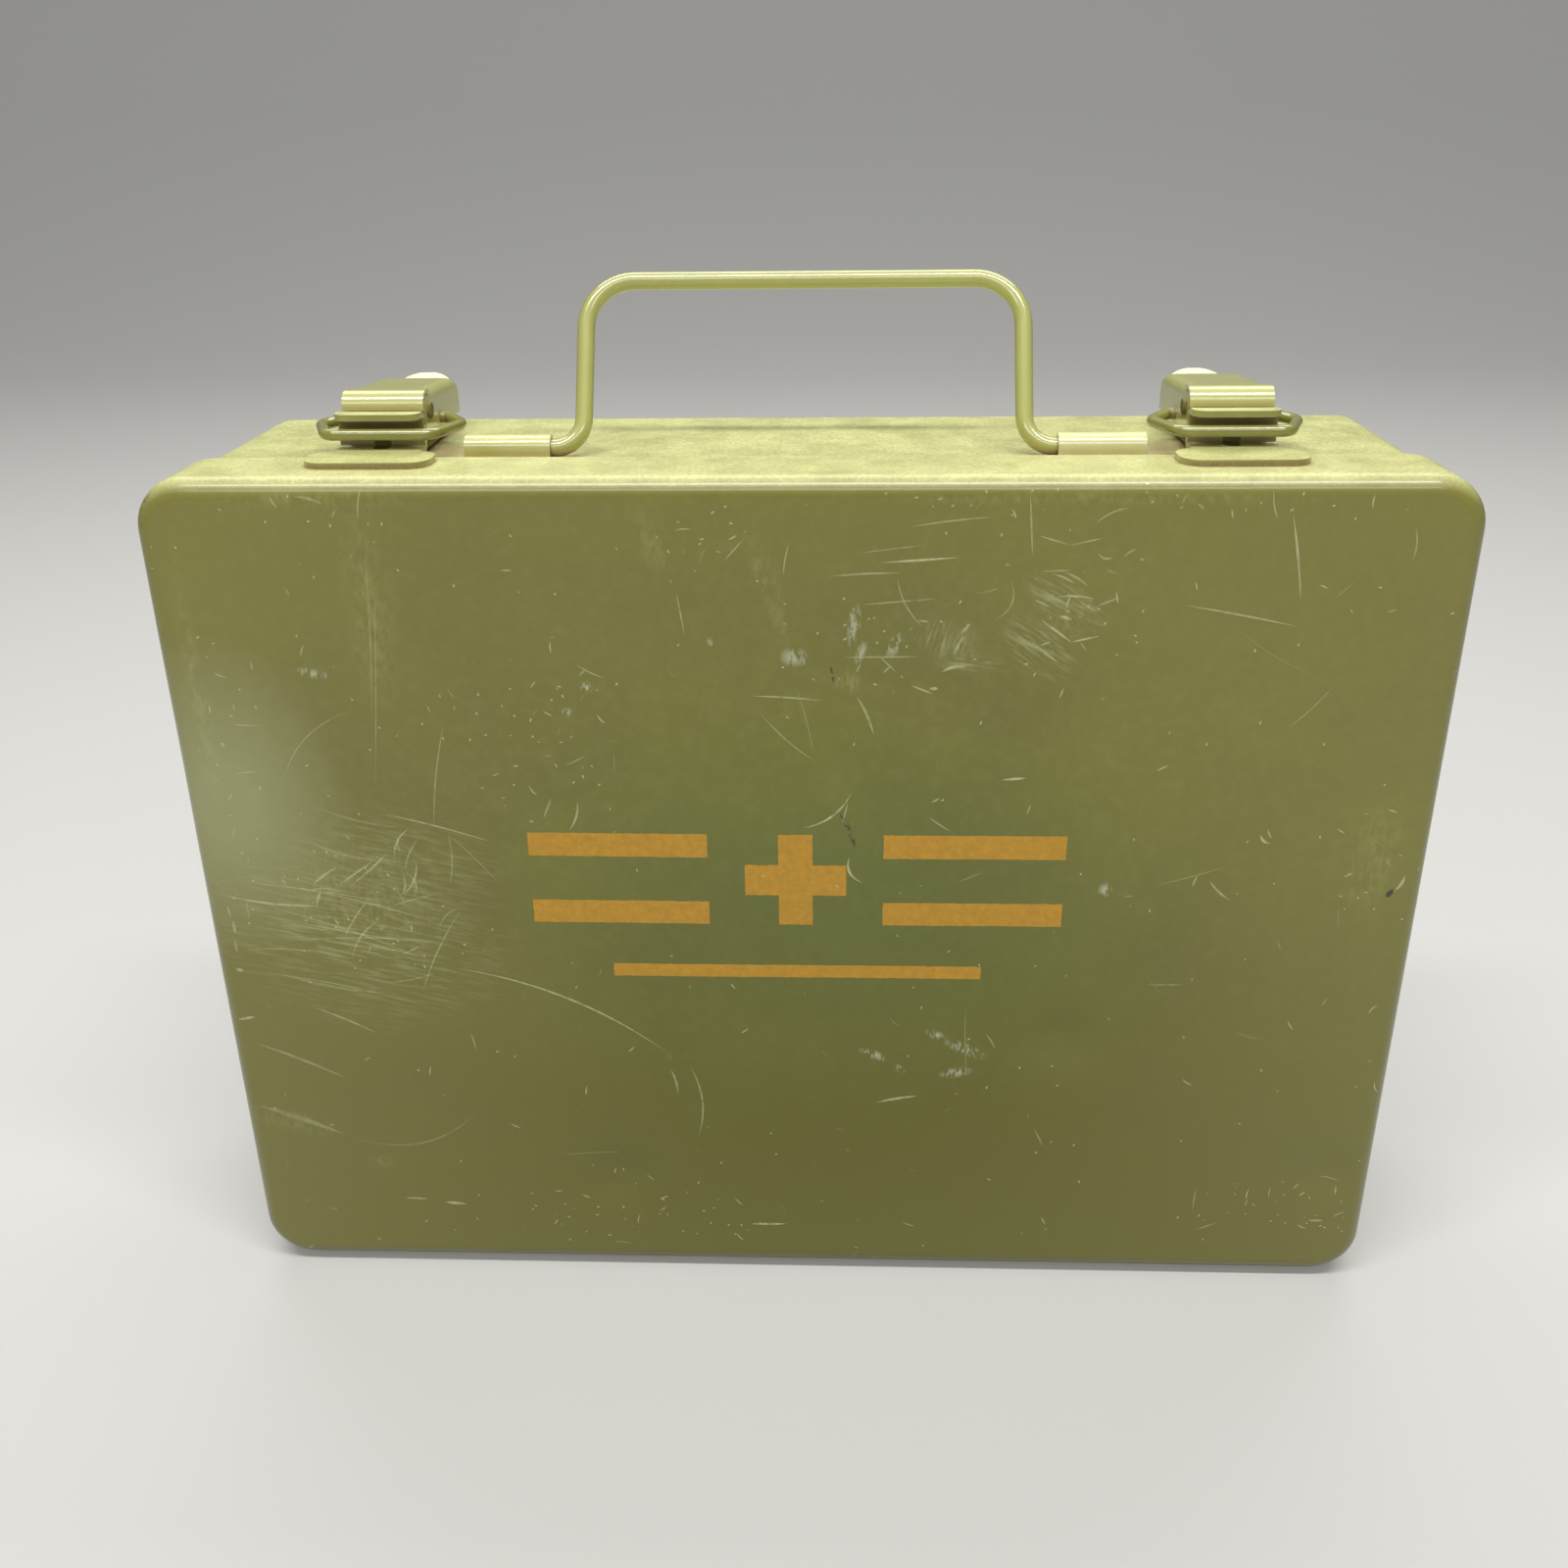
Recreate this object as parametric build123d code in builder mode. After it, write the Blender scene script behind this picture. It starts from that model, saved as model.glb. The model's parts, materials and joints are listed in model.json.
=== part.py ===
# Metal first aid box with a shallow front lid, a hinge along its bottom edge, two draw
# latches on top and a folding wire handle.
#
# Millimetres. +Z is up, the lid faces -Y and the origin is on the floor under the middle
# of the case. The box stands on its hinge barrel and on two pressed feet at the back.

from build123d import *
from math import atan2, cos, hypot, radians, sin
import os

os.makedirs("parts", exist_ok=True)

# Case
case_width = 266.7
lid_height = 194.6
case_depth = 72.4
lid_depth = 20.0
sheet = 0.8
lid_body_gap = 0.8
lid_corner_radius = 11.0
lid_front_radius = 4.0
body_rear_radius = 3.0
rim_setback = 6.0
hem_width = 5.0

# Rubber gasket inside the lid
gasket_width = 7.0
gasket_side_gap = 0.4
gasket_rim_gap = 0.3

# Continuous hinge under the bottom edge
hinge_length = 236.0
knuckle_count = 11
hinge_pin_diameter = 1.6
hinge_pin_clearance = 0.05
leaf_sheet = 0.6
leaf_width = 10.0
knuckle_gap = 0.3
hinge_swing_gap = 0.3
hinge_edge_gap = 0.6
leaf_notch_gap = 0.35

# Pressed feet under the rear of the body
foot_length = 34.0
foot_width = 10.0
foot_taper = 20.0
foot_side_inset = 34.0
foot_rear_inset = 12.0

# Wire handle
handle_wire = 3.7
handle_leg_spacing = 92.0
handle_rise = 36.3
handle_lean = 30.0
handle_top_bend = 10.2
handle_foot_bend = 6.2
handle_setback = 6.0
handle_lift = 0.3

# Sheet clips that hold the handle
clip_sheet = 0.9
clip_length = 18.0
clip_clearance = 0.06
clip_bend_gap = 0.5
clip_end_cover = 1.0
clip_front_flange = 2.2
clip_rear_flange = 4.5

# Keepers on the lid
latch_spacing = 176.0
keeper_sheet = 1.3
keeper_plate_width = 26.0
keeper_plate_depth = 11.3
keeper_plate_radius = 4.4
keeper_neck_width = 18.0
keeper_reach = 4.6
keeper_height = 8.6
keeper_lip_depth = 5.4
keeper_bend = 1.2
keeper_lip_radius = 2.6
keeper_slot_width = 3.6
keeper_slot_height = 3.4
keeper_slot_lead = 2.8

# Latch levers
lever_width = 17.2
lever_sheet = 0.85
lever_side_bend = 2.4
lever_nose_radius = 3.5
lever_nose_height = 12.0
lever_nose_drop = 0.3
lever_nose_slit = 0.5
lever_nose_gap = 0.7
lever_length = 30.7
lever_fall = 1.8
lever_rear_radius = 5.0
lever_flange_bottom = 2.6
lever_front_bottom = 4.4
tab_width = 13.0
tab_drop = 5.6
tab_lift = 2.4
tab_run = 7.5
tab_tip = 6.0
tab_bend = 5.0
tab_root = 7.5

# Lever pivot, on ears of the latch base
pivot_behind_nose = 1.1
pivot_below_nose = 0.9
pivot_pin_diameter = 2.4
pivot_clearance = 0.05
pivot_head_diameter = 3.6
pivot_head_height = 0.6
ear_sheet = 1.0
ear_gap = 0.3
ear_boss_radius = 2.3
ear_stem_setback = 0.9
ear_stem_width = 7.0
ear_shoulder_angle = 37.0
base_plate_length = 20.0
base_bend = 0.9

# Rivets that hold each latch base
rivet_shank_diameter = 2.4
rivet_head_diameter = 4.4
rivet_head_height = 0.9
rivet_tail_diameter = 3.8
rivet_tail_height = 0.7
rivet_pitch = 5.6
rivet_hole_clearance = 0.05
rivet_rear_margin = 3.6

# Wire bails of the latches
bail_wire = 2.4
bail_hole_clearance = 0.06
bail_end_cover = 0.9
bail_hook_gap = 2.0
bail_front_rise = 4.4
bail_pivot_back = 9.0
bail_pivot_drop = 3.2
bail_front_half_width = 11.0
bail_flare_half_width = 15.3
bail_flare_back = 8.0
bail_side_gap = 1.8
bail_front_bend = 3.0
bail_flare_bend = 4.0
bail_end_bend = 1.6

# Places worked out from the sizes above
front = -case_depth / 2
rear = case_depth / 2
lid_rear = front + lid_depth
body_rim = front + rim_setback
body_inset = sheet + lid_body_gap
knuckle_radius = hinge_pin_diameter / 2 + hinge_pin_clearance + leaf_sheet
hinge_y = lid_rear + hinge_edge_gap + knuckle_radius
hinge_z = knuckle_radius
body_bottom = hinge_z + knuckle_radius + hinge_swing_gap
lid_bottom = body_bottom - body_inset
lid_top = lid_bottom + lid_height
body_top = lid_top - body_inset
body_width = case_width - 2 * body_inset
body_height = body_top - body_bottom
body_corner_radius = lid_corner_radius - body_inset
case_middle = (lid_bottom + lid_top) / 2

handle_radius = handle_wire / 2
handle_y = lid_rear + handle_setback
handle_z = body_top + handle_radius + handle_lift
clip_inner = handle_radius + clip_clearance
clip_outer = clip_inner + clip_sheet
clip_start = handle_leg_spacing / 2 + handle_foot_bend + clip_bend_gap
handle_end = clip_start + clip_length - clip_end_cover

upright_front = lid_rear + keeper_reach
upright_rear = upright_front + keeper_sheet
nose_to_pivot = hypot(pivot_behind_nose, pivot_below_nose)
pivot_y = upright_rear + lever_nose_gap + nose_to_pivot + lever_nose_radius
nose_y = pivot_y - pivot_behind_nose
nose_z = lid_top + lever_nose_height - lever_nose_radius
pivot_z = nose_z - pivot_below_nose
nose_front = nose_y - lever_nose_radius
lever_rear = nose_front + lever_length
lever_slope = atan2(lever_fall, lever_length)
bail_radius = bail_wire / 2
bail_front_y = upright_front - bail_hook_gap - bail_radius
bail_front_z = lid_top + bail_front_rise
bail_pivot_y = pivot_y + bail_pivot_back
bail_pivot_z = pivot_z - bail_pivot_drop
ear_outer = lever_width / 2 - lever_sheet - ear_gap
base_front = pivot_y + ear_stem_setback
base_rear = base_front + base_plate_length


def export(part, name):
    """Label one finished piece and write it under its node name."""
    part.label = name
    export_step(part, f"parts/{name}.step")


def top_of_lever(y):
    """Height of the middle of the lever's top sheet, which falls towards the rear."""
    middle_radius = lever_nose_radius - lever_sheet / 2
    start_y = nose_y + middle_radius * sin(lever_slope)
    start_z = nose_z + middle_radius * cos(lever_slope)
    return start_z - (y - start_y) * lever_fall / lever_length


def rivet_places():
    """Middle of each rivet along Y, from the rear edge of the base plate."""
    last = base_rear - rivet_rear_margin
    return [last - rivet_pitch, last]


# Lid: one drawn pan, open at the back
with BuildPart() as lid_shell:
    with BuildSketch(Plane.XZ.offset(-lid_rear)):
        with Locations((0, case_middle)):
            RectangleRounded(case_width, lid_height, lid_corner_radius)
    extrude(amount=lid_depth)
    fillet(lid_shell.faces().sort_by(Axis.Y)[0].edges(), radius=lid_front_radius)
    offset(amount=-sheet, openings=lid_shell.faces().sort_by(Axis.Y)[-1])
export(lid_shell.part, "lid_shell")

# Gasket: a rubber ring that the body's rim closes on
gasket_width_out = case_width - 2 * (sheet + gasket_side_gap)
gasket_height_out = lid_height - 2 * (sheet + gasket_side_gap)
gasket_radius_out = lid_corner_radius - sheet - gasket_side_gap
gasket_floor = front + sheet
gasket_thickness = body_rim - gasket_rim_gap - gasket_floor

with BuildPart() as lid_gasket:
    with BuildSketch(Plane.XZ.offset(-gasket_floor - gasket_thickness)):
        with Locations((0, case_middle)):
            RectangleRounded(gasket_width_out, gasket_height_out, gasket_radius_out)
    extrude(amount=gasket_thickness)
    gasket_front_edges = lid_gasket.faces().sort_by(Axis.Y)[0].edges()
    fillet(gasket_front_edges, radius=lid_front_radius - sheet)
    with BuildSketch(Plane.XZ.offset(-gasket_floor - gasket_thickness)):
        with Locations((0, case_middle)):
            RectangleRounded(
                gasket_width_out - 2 * gasket_width,
                gasket_height_out - 2 * gasket_width,
                max(gasket_radius_out - gasket_width, sheet),
            )
    extrude(amount=gasket_thickness, mode=Mode.SUBTRACT)
export(lid_gasket.part, "lid_gasket")

# Body: a deeper drawn pan, with a folded hem at its rim and two pressed feet
with BuildPart() as body_shell:
    with BuildSketch(Plane.XZ.offset(-rear)):
        with Locations((0, case_middle)):
            RectangleRounded(body_width, body_height, body_corner_radius)
    extrude(amount=rear - body_rim)
    fillet(body_shell.faces().sort_by(Axis.Y)[-1].edges(), radius=body_rear_radius)
    offset(amount=-sheet, openings=body_shell.faces().sort_by(Axis.Y)[0])

    with BuildSketch(Plane.XZ.offset(-body_rim - hem_width)):
        with Locations((0, case_middle)):
            RectangleRounded(body_width - sheet, body_height - sheet, body_corner_radius - sheet / 2)
            RectangleRounded(
                body_width - 4 * sheet,
                body_height - 4 * sheet,
                body_corner_radius - 2 * sheet,
                mode=Mode.SUBTRACT,
            )
    extrude(amount=hem_width)

    foot_x = case_width / 2 - foot_side_inset - foot_length / 2
    foot_y = rear - foot_rear_inset
    with BuildSketch(Plane.XY.offset(body_bottom + sheet / 2)):
        with Locations((-foot_x, foot_y), (foot_x, foot_y)):
            SlotOverall(foot_length, foot_width)
    extrude(amount=-body_bottom - sheet / 2, taper=foot_taper)
    with BuildSketch(Plane.XY.offset(body_bottom + sheet)):
        with Locations((-foot_x, foot_y), (foot_x, foot_y)):
            SlotOverall(foot_length - 2 * sheet, foot_width - 2 * sheet)
    extrude(amount=-body_bottom, taper=foot_taper, mode=Mode.SUBTRACT)

    with BuildSketch(Plane.XY.offset(body_top)):
        for latch_x in (-latch_spacing / 2, latch_spacing / 2):
            with Locations(*[(latch_x, y) for y in rivet_places()]):
                Circle(rivet_shank_diameter / 2 + rivet_hole_clearance)
    extrude(amount=-sheet, mode=Mode.SUBTRACT)
export(body_shell.part, "body_shell")

# Hinge: knuckles take turns along one pin, the even ones on the body
knuckle_pitch = hinge_length / knuckle_count
knuckle_starts = [
    -hinge_length / 2 + i * knuckle_pitch + knuckle_gap / 2 for i in range(knuckle_count)
]
knuckle_length = knuckle_pitch - knuckle_gap
leaf_start = knuckle_radius + leaf_notch_gap


def hinge_leaf(starts, side, leaf_bottom):
    """One leaf with its knuckles. side is +1 for the leaf that runs back from the pin."""
    leaf_end = leaf_start + leaf_width
    with BuildPart() as leaf:
        with BuildSketch(Plane.XY.offset(leaf_bottom)):
            with Locations((0, hinge_y + side * (leaf_start + leaf_end) / 2)):
                Rectangle(hinge_length, leaf_end - leaf_start)
            for start in starts:
                with Locations((start + knuckle_length / 2, hinge_y + side * leaf_start / 2)):
                    Rectangle(knuckle_length, leaf_start)
        extrude(amount=leaf_sheet)
        with BuildSketch(*[Plane.YZ.offset(start) for start in starts]):
            with Locations((hinge_y, hinge_z)):
                Circle(knuckle_radius)
        extrude(amount=knuckle_length)
        with BuildSketch(Plane.YZ.offset(-hinge_length / 2)):
            with Locations((hinge_y, hinge_z)):
                Circle(hinge_pin_diameter / 2 + hinge_pin_clearance)
        extrude(amount=hinge_length, mode=Mode.SUBTRACT)
    return leaf.part


export(hinge_leaf(knuckle_starts[0::2], 1, body_bottom - leaf_sheet), "body_hinge_leaf")
export(hinge_leaf(knuckle_starts[1::2], -1, lid_bottom - leaf_sheet), "lid_hinge_leaf")

with BuildPart() as hinge_pin:
    with BuildSketch(Plane.YZ.offset(-hinge_length / 2)):
        with Locations((hinge_y, hinge_z)):
            Circle(hinge_pin_diameter / 2)
    extrude(amount=hinge_length)
export(hinge_pin.part, "hinge_pin")

# Handle: one bent wire whose feet turn outwards into the clips. It rests leaning back.
leg_x = handle_leg_spacing / 2
lean = radians(handle_lean)
handle_plane = Plane(
    origin=(0, handle_y, handle_z), x_dir=(1, 0, 0), z_dir=(0, -cos(lean), sin(lean))
)
with BuildPart() as handle:
    with BuildLine(handle_plane) as handle_path:
        FilletPolyline(
            (-handle_end, 0),
            (-leg_x, 0),
            (-leg_x, handle_rise),
            (leg_x, handle_rise),
            (leg_x, 0),
            (handle_end, 0),
            radius=(handle_foot_bend, handle_top_bend, handle_top_bend, handle_foot_bend),
        )
    with BuildSketch(Plane.YZ.offset(-handle_end)):
        with Locations((handle_y, handle_z)):
            Circle(handle_radius)
    sweep(path=handle_path.wires()[0])
export(handle.part, "handle")


def handle_clip(start):
    """A strap bent over the wire, with a short flange in front and a longer one behind."""
    with BuildPart() as clip:
        with BuildSketch(Plane.YZ.offset(start)):
            with Locations((handle_y, handle_z)):
                Circle(clip_outer)
            with Locations((handle_y, (body_top + handle_z) / 2)):
                Rectangle(2 * clip_outer, handle_z - body_top)
            flange_front = handle_y - clip_outer - clip_front_flange
            flange_rear = handle_y + clip_outer + clip_rear_flange
            with Locations(((flange_front + flange_rear) / 2, body_top + clip_sheet / 2)):
                Rectangle(flange_rear - flange_front, clip_sheet)
            with Locations((handle_y, handle_z - clip_outer)):
                Rectangle(
                    2 * clip_outer + flange_rear - flange_front,
                    2 * (body_top - handle_z + clip_outer),
                    mode=Mode.SUBTRACT,
                )
            with Locations((handle_y, handle_z)):
                Circle(clip_inner, mode=Mode.SUBTRACT)
            with Locations((handle_y, (body_top + handle_z) / 2)):
                Rectangle(2 * clip_inner, handle_z - body_top, mode=Mode.SUBTRACT)
        extrude(amount=clip_length)
    return clip.part


export(handle_clip(-clip_start - clip_length), "handle_clip_left")
export(handle_clip(clip_start), "handle_clip_right")


def keeper(x):
    """The plate on the lid, whose neck rises behind the bail and turns forward over it."""
    middle = keeper_sheet / 2
    plate_front = lid_rear - keeper_plate_depth
    lip_front = upright_rear - keeper_lip_depth
    with BuildPart() as hook:
        with BuildSketch(Plane.YZ.offset(x - keeper_neck_width / 2)):
            with BuildLine():
                FilletPolyline(
                    (lid_rear - keeper_plate_depth / 2, lid_top + middle),
                    (upright_front + middle, lid_top + middle),
                    (upright_front + middle, lid_top + keeper_height - middle),
                    (lip_front, lid_top + keeper_height - middle),
                    radius=keeper_bend,
                )
            trace(line_width=keeper_sheet)
        extrude(amount=keeper_neck_width)
        lip_corners = hook.edges().filter_by(Axis.Z).sort_by(Axis.Y)[:4].sort_by(Axis.Z)[-2:]
        fillet(lip_corners, radius=keeper_lip_radius)
        with BuildSketch(Plane.XY.offset(lid_top)):
            with Locations((x, plate_front + keeper_plate_depth / 2)):
                RectangleRounded(keeper_plate_width, keeper_plate_depth, keeper_plate_radius)
        extrude(amount=keeper_sheet)
        with BuildSketch(Plane.XY.offset(lid_top)):
            with Locations((x, upright_rear)):
                SlotOverall(2 * (keeper_sheet + keeper_slot_lead), keeper_slot_width, rotation=90)
        extrude(amount=keeper_slot_height, mode=Mode.SUBTRACT)
    return hook.part


def lever_channel(x):
    """The lever's folded channel, trimmed to the outline that it shows from the side."""
    slope_z = cos(lever_slope)
    top_z = top_of_lever(nose_front) + lever_sheet / 2 / slope_z
    section = Plane(
        origin=(x, nose_front, top_z), x_dir=(1, 0, 0), z_dir=(0, slope_z, -sin(lever_slope))
    )
    flange_front = nose_front + lever_sheet + lever_nose_slit
    slit_radius = lever_nose_radius - lever_sheet - lever_nose_slit
    rear_top = top_of_lever(lever_rear - lever_rear_radius) + lever_sheet / 2
    depth = 2 * lever_nose_height
    with BuildPart() as channel:
        with BuildSketch(section):
            with Locations((0, depth / 2)):
                RectangleRounded(lever_width, depth, lever_side_bend)
            with Locations((0, depth / 2 + lever_sheet)):
                RectangleRounded(
                    lever_width - 2 * lever_sheet,
                    depth,
                    lever_side_bend - lever_sheet,
                    mode=Mode.SUBTRACT,
                )
        extrude(amount=lever_length + lever_rear_radius)
        with BuildSketch(Plane.YZ.offset(x)):
            with BuildLine():
                Polyline(
                    (nose_y, nose_z + slit_radius),
                    (nose_y, nose_z + 2 * lever_nose_radius),
                    (lever_rear - lever_rear_radius, nose_z + 2 * lever_nose_radius),
                    (lever_rear - lever_rear_radius, rear_top),
                )
                RadiusArc(
                    (lever_rear - lever_rear_radius, rear_top),
                    (lever_rear, rear_top - lever_rear_radius),
                    lever_rear_radius,
                )
                Polyline(
                    (lever_rear, rear_top - lever_rear_radius),
                    (lever_rear, lid_top + lever_flange_bottom),
                    (pivot_y, lid_top + lever_flange_bottom),
                    (flange_front, lid_top + lever_front_bottom),
                    (flange_front, nose_z),
                )
                RadiusArc((flange_front, nose_z), (nose_y, nose_z + slit_radius), slit_radius)
            make_face()
        extrude(amount=lever_width, both=True, mode=Mode.INTERSECT)
    return channel.part


def lever_tab(x):
    """The finger tab: it dips behind the channel, turns up and has a round end."""
    start_y = lever_rear - tab_root
    bend_y = lever_rear - lever_rear_radius
    dip_z = top_of_lever(bend_y) - tab_drop + tab_lift
    tip_y = bend_y + tab_run + tab_tip
    tip_z = dip_z + tab_lift
    with BuildPart() as tab:
        with BuildSketch(Plane.YZ.offset(x - tab_width / 2)):
            with BuildLine():
                FilletPolyline(
                    (start_y, top_of_lever(start_y)),
                    (bend_y, top_of_lever(bend_y)),
                    (bend_y + tab_run, dip_z),
                    (tip_y, tip_z),
                    radius=tab_bend,
                )
            trace(line_width=lever_sheet)
        extrude(amount=tab_width)
        with BuildSketch(Plane.XY.offset(lid_top)):
            with Locations((x, tip_y - tab_width / 2)):
                Circle(tab_width / 2)
            with Locations((x, (start_y - lever_sheet + tip_y - tab_width / 2) / 2)):
                Rectangle(tab_width, tip_y - tab_width / 2 - start_y + lever_sheet)
        extrude(amount=2 * lever_nose_height, mode=Mode.INTERSECT)
    return tab.part


def latch_lever(x):
    """Channel, rolled nose and finger tab as one pressing, with its four side holes."""
    channel = lever_channel(x)
    tab = lever_tab(x)
    middle_radius = lever_nose_radius - lever_sheet / 2
    top_y = nose_y + middle_radius * sin(lever_slope)
    shoulder_y = nose_y + lever_side_bend
    with BuildPart() as lever:
        add(channel)
        add(tab)
        with BuildSketch(Plane.YZ.offset(x - lever_width / 2)):
            with BuildLine():
                Line(
                    (nose_y - middle_radius, nose_z - lever_nose_drop),
                    (nose_y - middle_radius, nose_z),
                )
                RadiusArc(
                    (nose_y - middle_radius, nose_z), (top_y, top_of_lever(top_y)), middle_radius
                )
                Line(
                    (top_y, top_of_lever(top_y)),
                    (shoulder_y, top_of_lever(shoulder_y)),
                )
            trace(line_width=lever_sheet)
        extrude(amount=lever_width)
        with BuildSketch(Plane.YZ.offset(x)):
            with Locations((pivot_y, pivot_z)):
                Circle(pivot_pin_diameter / 2 + pivot_clearance)
            with Locations((bail_pivot_y, bail_pivot_z)):
                Circle(bail_radius + bail_hole_clearance)
        extrude(amount=lever_width, both=True, mode=Mode.SUBTRACT)
    return lever.part


def latch_base(x):
    """A folded strip: its plate lies on the body and its two ears carry the lever's pin."""
    plate_top = body_top + ear_sheet
    depth = pivot_z + ear_boss_radius - body_top
    shoulder = radians(ear_shoulder_angle)
    shoulder_y = pivot_y + ear_boss_radius * cos(shoulder)
    shoulder_z = pivot_z + ear_boss_radius * sin(shoulder)
    with BuildPart() as base:
        with BuildSketch(Plane.XZ.offset(-base_rear)):
            with Locations((x, body_top + depth)):
                RectangleRounded(2 * ear_outer, 2 * depth, base_bend + ear_sheet)
            with Locations((x, plate_top + depth)):
                RectangleRounded(
                    2 * (ear_outer - ear_sheet), 2 * depth, base_bend, mode=Mode.SUBTRACT
                )
        extrude(amount=base_rear - pivot_y + ear_boss_radius)
        with BuildSketch(Plane.YZ.offset(x)):
            with Locations((pivot_y, pivot_z)):
                Circle(ear_boss_radius)
            with BuildLine():
                Polyline(
                    (base_front, body_top),
                    (base_rear, body_top),
                    (base_rear, plate_top),
                    (base_front + ear_stem_width, plate_top),
                    (shoulder_y, shoulder_z),
                    (base_front, pivot_z),
                    close=True,
                )
            make_face()
            with Locations((pivot_y, pivot_z)):
                Circle(pivot_pin_diameter / 2, mode=Mode.SUBTRACT)
        extrude(amount=lever_width, both=True, mode=Mode.INTERSECT)
        with BuildSketch(Plane.XY.offset(body_top)):
            with Locations(*[(x, y) for y in rivet_places()]):
                Circle(rivet_shank_diameter / 2 + rivet_hole_clearance)
        extrude(amount=ear_sheet, mode=Mode.SUBTRACT)
    return base.part


def lever_pin(x):
    """The pin through ears and lever, with a low head on each side of the lever."""
    head_start = lever_width / 2 + pivot_clearance
    with BuildPart() as pin:
        with BuildSketch(Plane.YZ.offset(x)):
            with Locations((pivot_y, pivot_z)):
                Circle(pivot_pin_diameter / 2)
        extrude(amount=head_start, both=True)
        with BuildSketch(Plane.YZ.offset(x + head_start)):
            with Locations((pivot_y, pivot_z)):
                Circle(pivot_head_diameter / 2)
        extrude(amount=pivot_head_height)
        with BuildSketch(Plane.YZ.offset(x - head_start)):
            with Locations((pivot_y, pivot_z)):
                Circle(pivot_head_diameter / 2)
        extrude(amount=-pivot_head_height)
        chamfer(pin.edges().group_by(Axis.X)[0], length=pivot_head_height / 2)
        chamfer(pin.edges().group_by(Axis.X)[-1], length=pivot_head_height / 2)
    return pin.part


def base_rivets(x):
    """Two rivets in line, with flat heads on the plate and tails under the sheet."""
    with BuildPart() as rivets:
        places = [(x, y) for y in rivet_places()]
        with BuildSketch(Plane.XY.offset(body_top - sheet)):
            with Locations(*places):
                Circle(rivet_shank_diameter / 2)
        extrude(amount=sheet + ear_sheet)
        with BuildSketch(Plane.XY.offset(body_top + ear_sheet)):
            with Locations(*places):
                Circle(rivet_head_diameter / 2)
        extrude(amount=rivet_head_height)
        with BuildSketch(Plane.XY.offset(body_top - sheet)):
            with Locations(*places):
                Circle(rivet_tail_diameter / 2)
        extrude(amount=-rivet_tail_height)
    return rivets.part


def latch_bail(x):
    """A wire loop: its ends turn into the lever's holes and its front lies under the lip."""
    reach = hypot(bail_pivot_y - bail_front_y, bail_pivot_z - bail_front_z)
    forward = (0, (bail_front_y - bail_pivot_y) / reach, (bail_front_z - bail_pivot_z) / reach)
    loop = Plane(
        origin=(x, bail_pivot_y, bail_pivot_z),
        x_dir=(1, 0, 0),
        z_dir=(0, -forward[2], forward[1]),
    )
    end_x = lever_width / 2 - lever_sheet - bail_end_cover
    turn_x = lever_width / 2 + bail_side_gap
    with BuildPart() as bail:
        with BuildLine(loop) as bail_path:
            FilletPolyline(
                (-end_x, 0),
                (-turn_x, 0),
                (-bail_flare_half_width, bail_flare_back),
                (-bail_front_half_width, reach),
                (bail_front_half_width, reach),
                (bail_flare_half_width, bail_flare_back),
                (turn_x, 0),
                (end_x, 0),
                radius=(
                    bail_end_bend,
                    bail_flare_bend,
                    bail_front_bend,
                    bail_front_bend,
                    bail_flare_bend,
                    bail_end_bend,
                ),
            )
        with BuildSketch(Plane.YZ.offset(x - end_x)):
            with Locations((bail_pivot_y, bail_pivot_z)):
                Circle(bail_radius)
        sweep(path=bail_path.wires()[0])
    return bail.part


for side, latch_x in (("left", -latch_spacing / 2), ("right", latch_spacing / 2)):
    export(keeper(latch_x), f"keeper_{side}")
    export(latch_base(latch_x), f"latch_base_{side}")
    export(base_rivets(latch_x), f"latch_rivets_{side}")
    export(lever_pin(latch_x), f"lever_pin_{side}")
    export(latch_lever(latch_x), f"latch_lever_{side}")
    export(latch_bail(latch_x), f"latch_bail_{side}")
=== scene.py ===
"""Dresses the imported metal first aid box: enamel, painted marking, dust, dents and a plain studio."""

import json
import math

import bpy
from mathutils import Matrix, Vector

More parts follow.
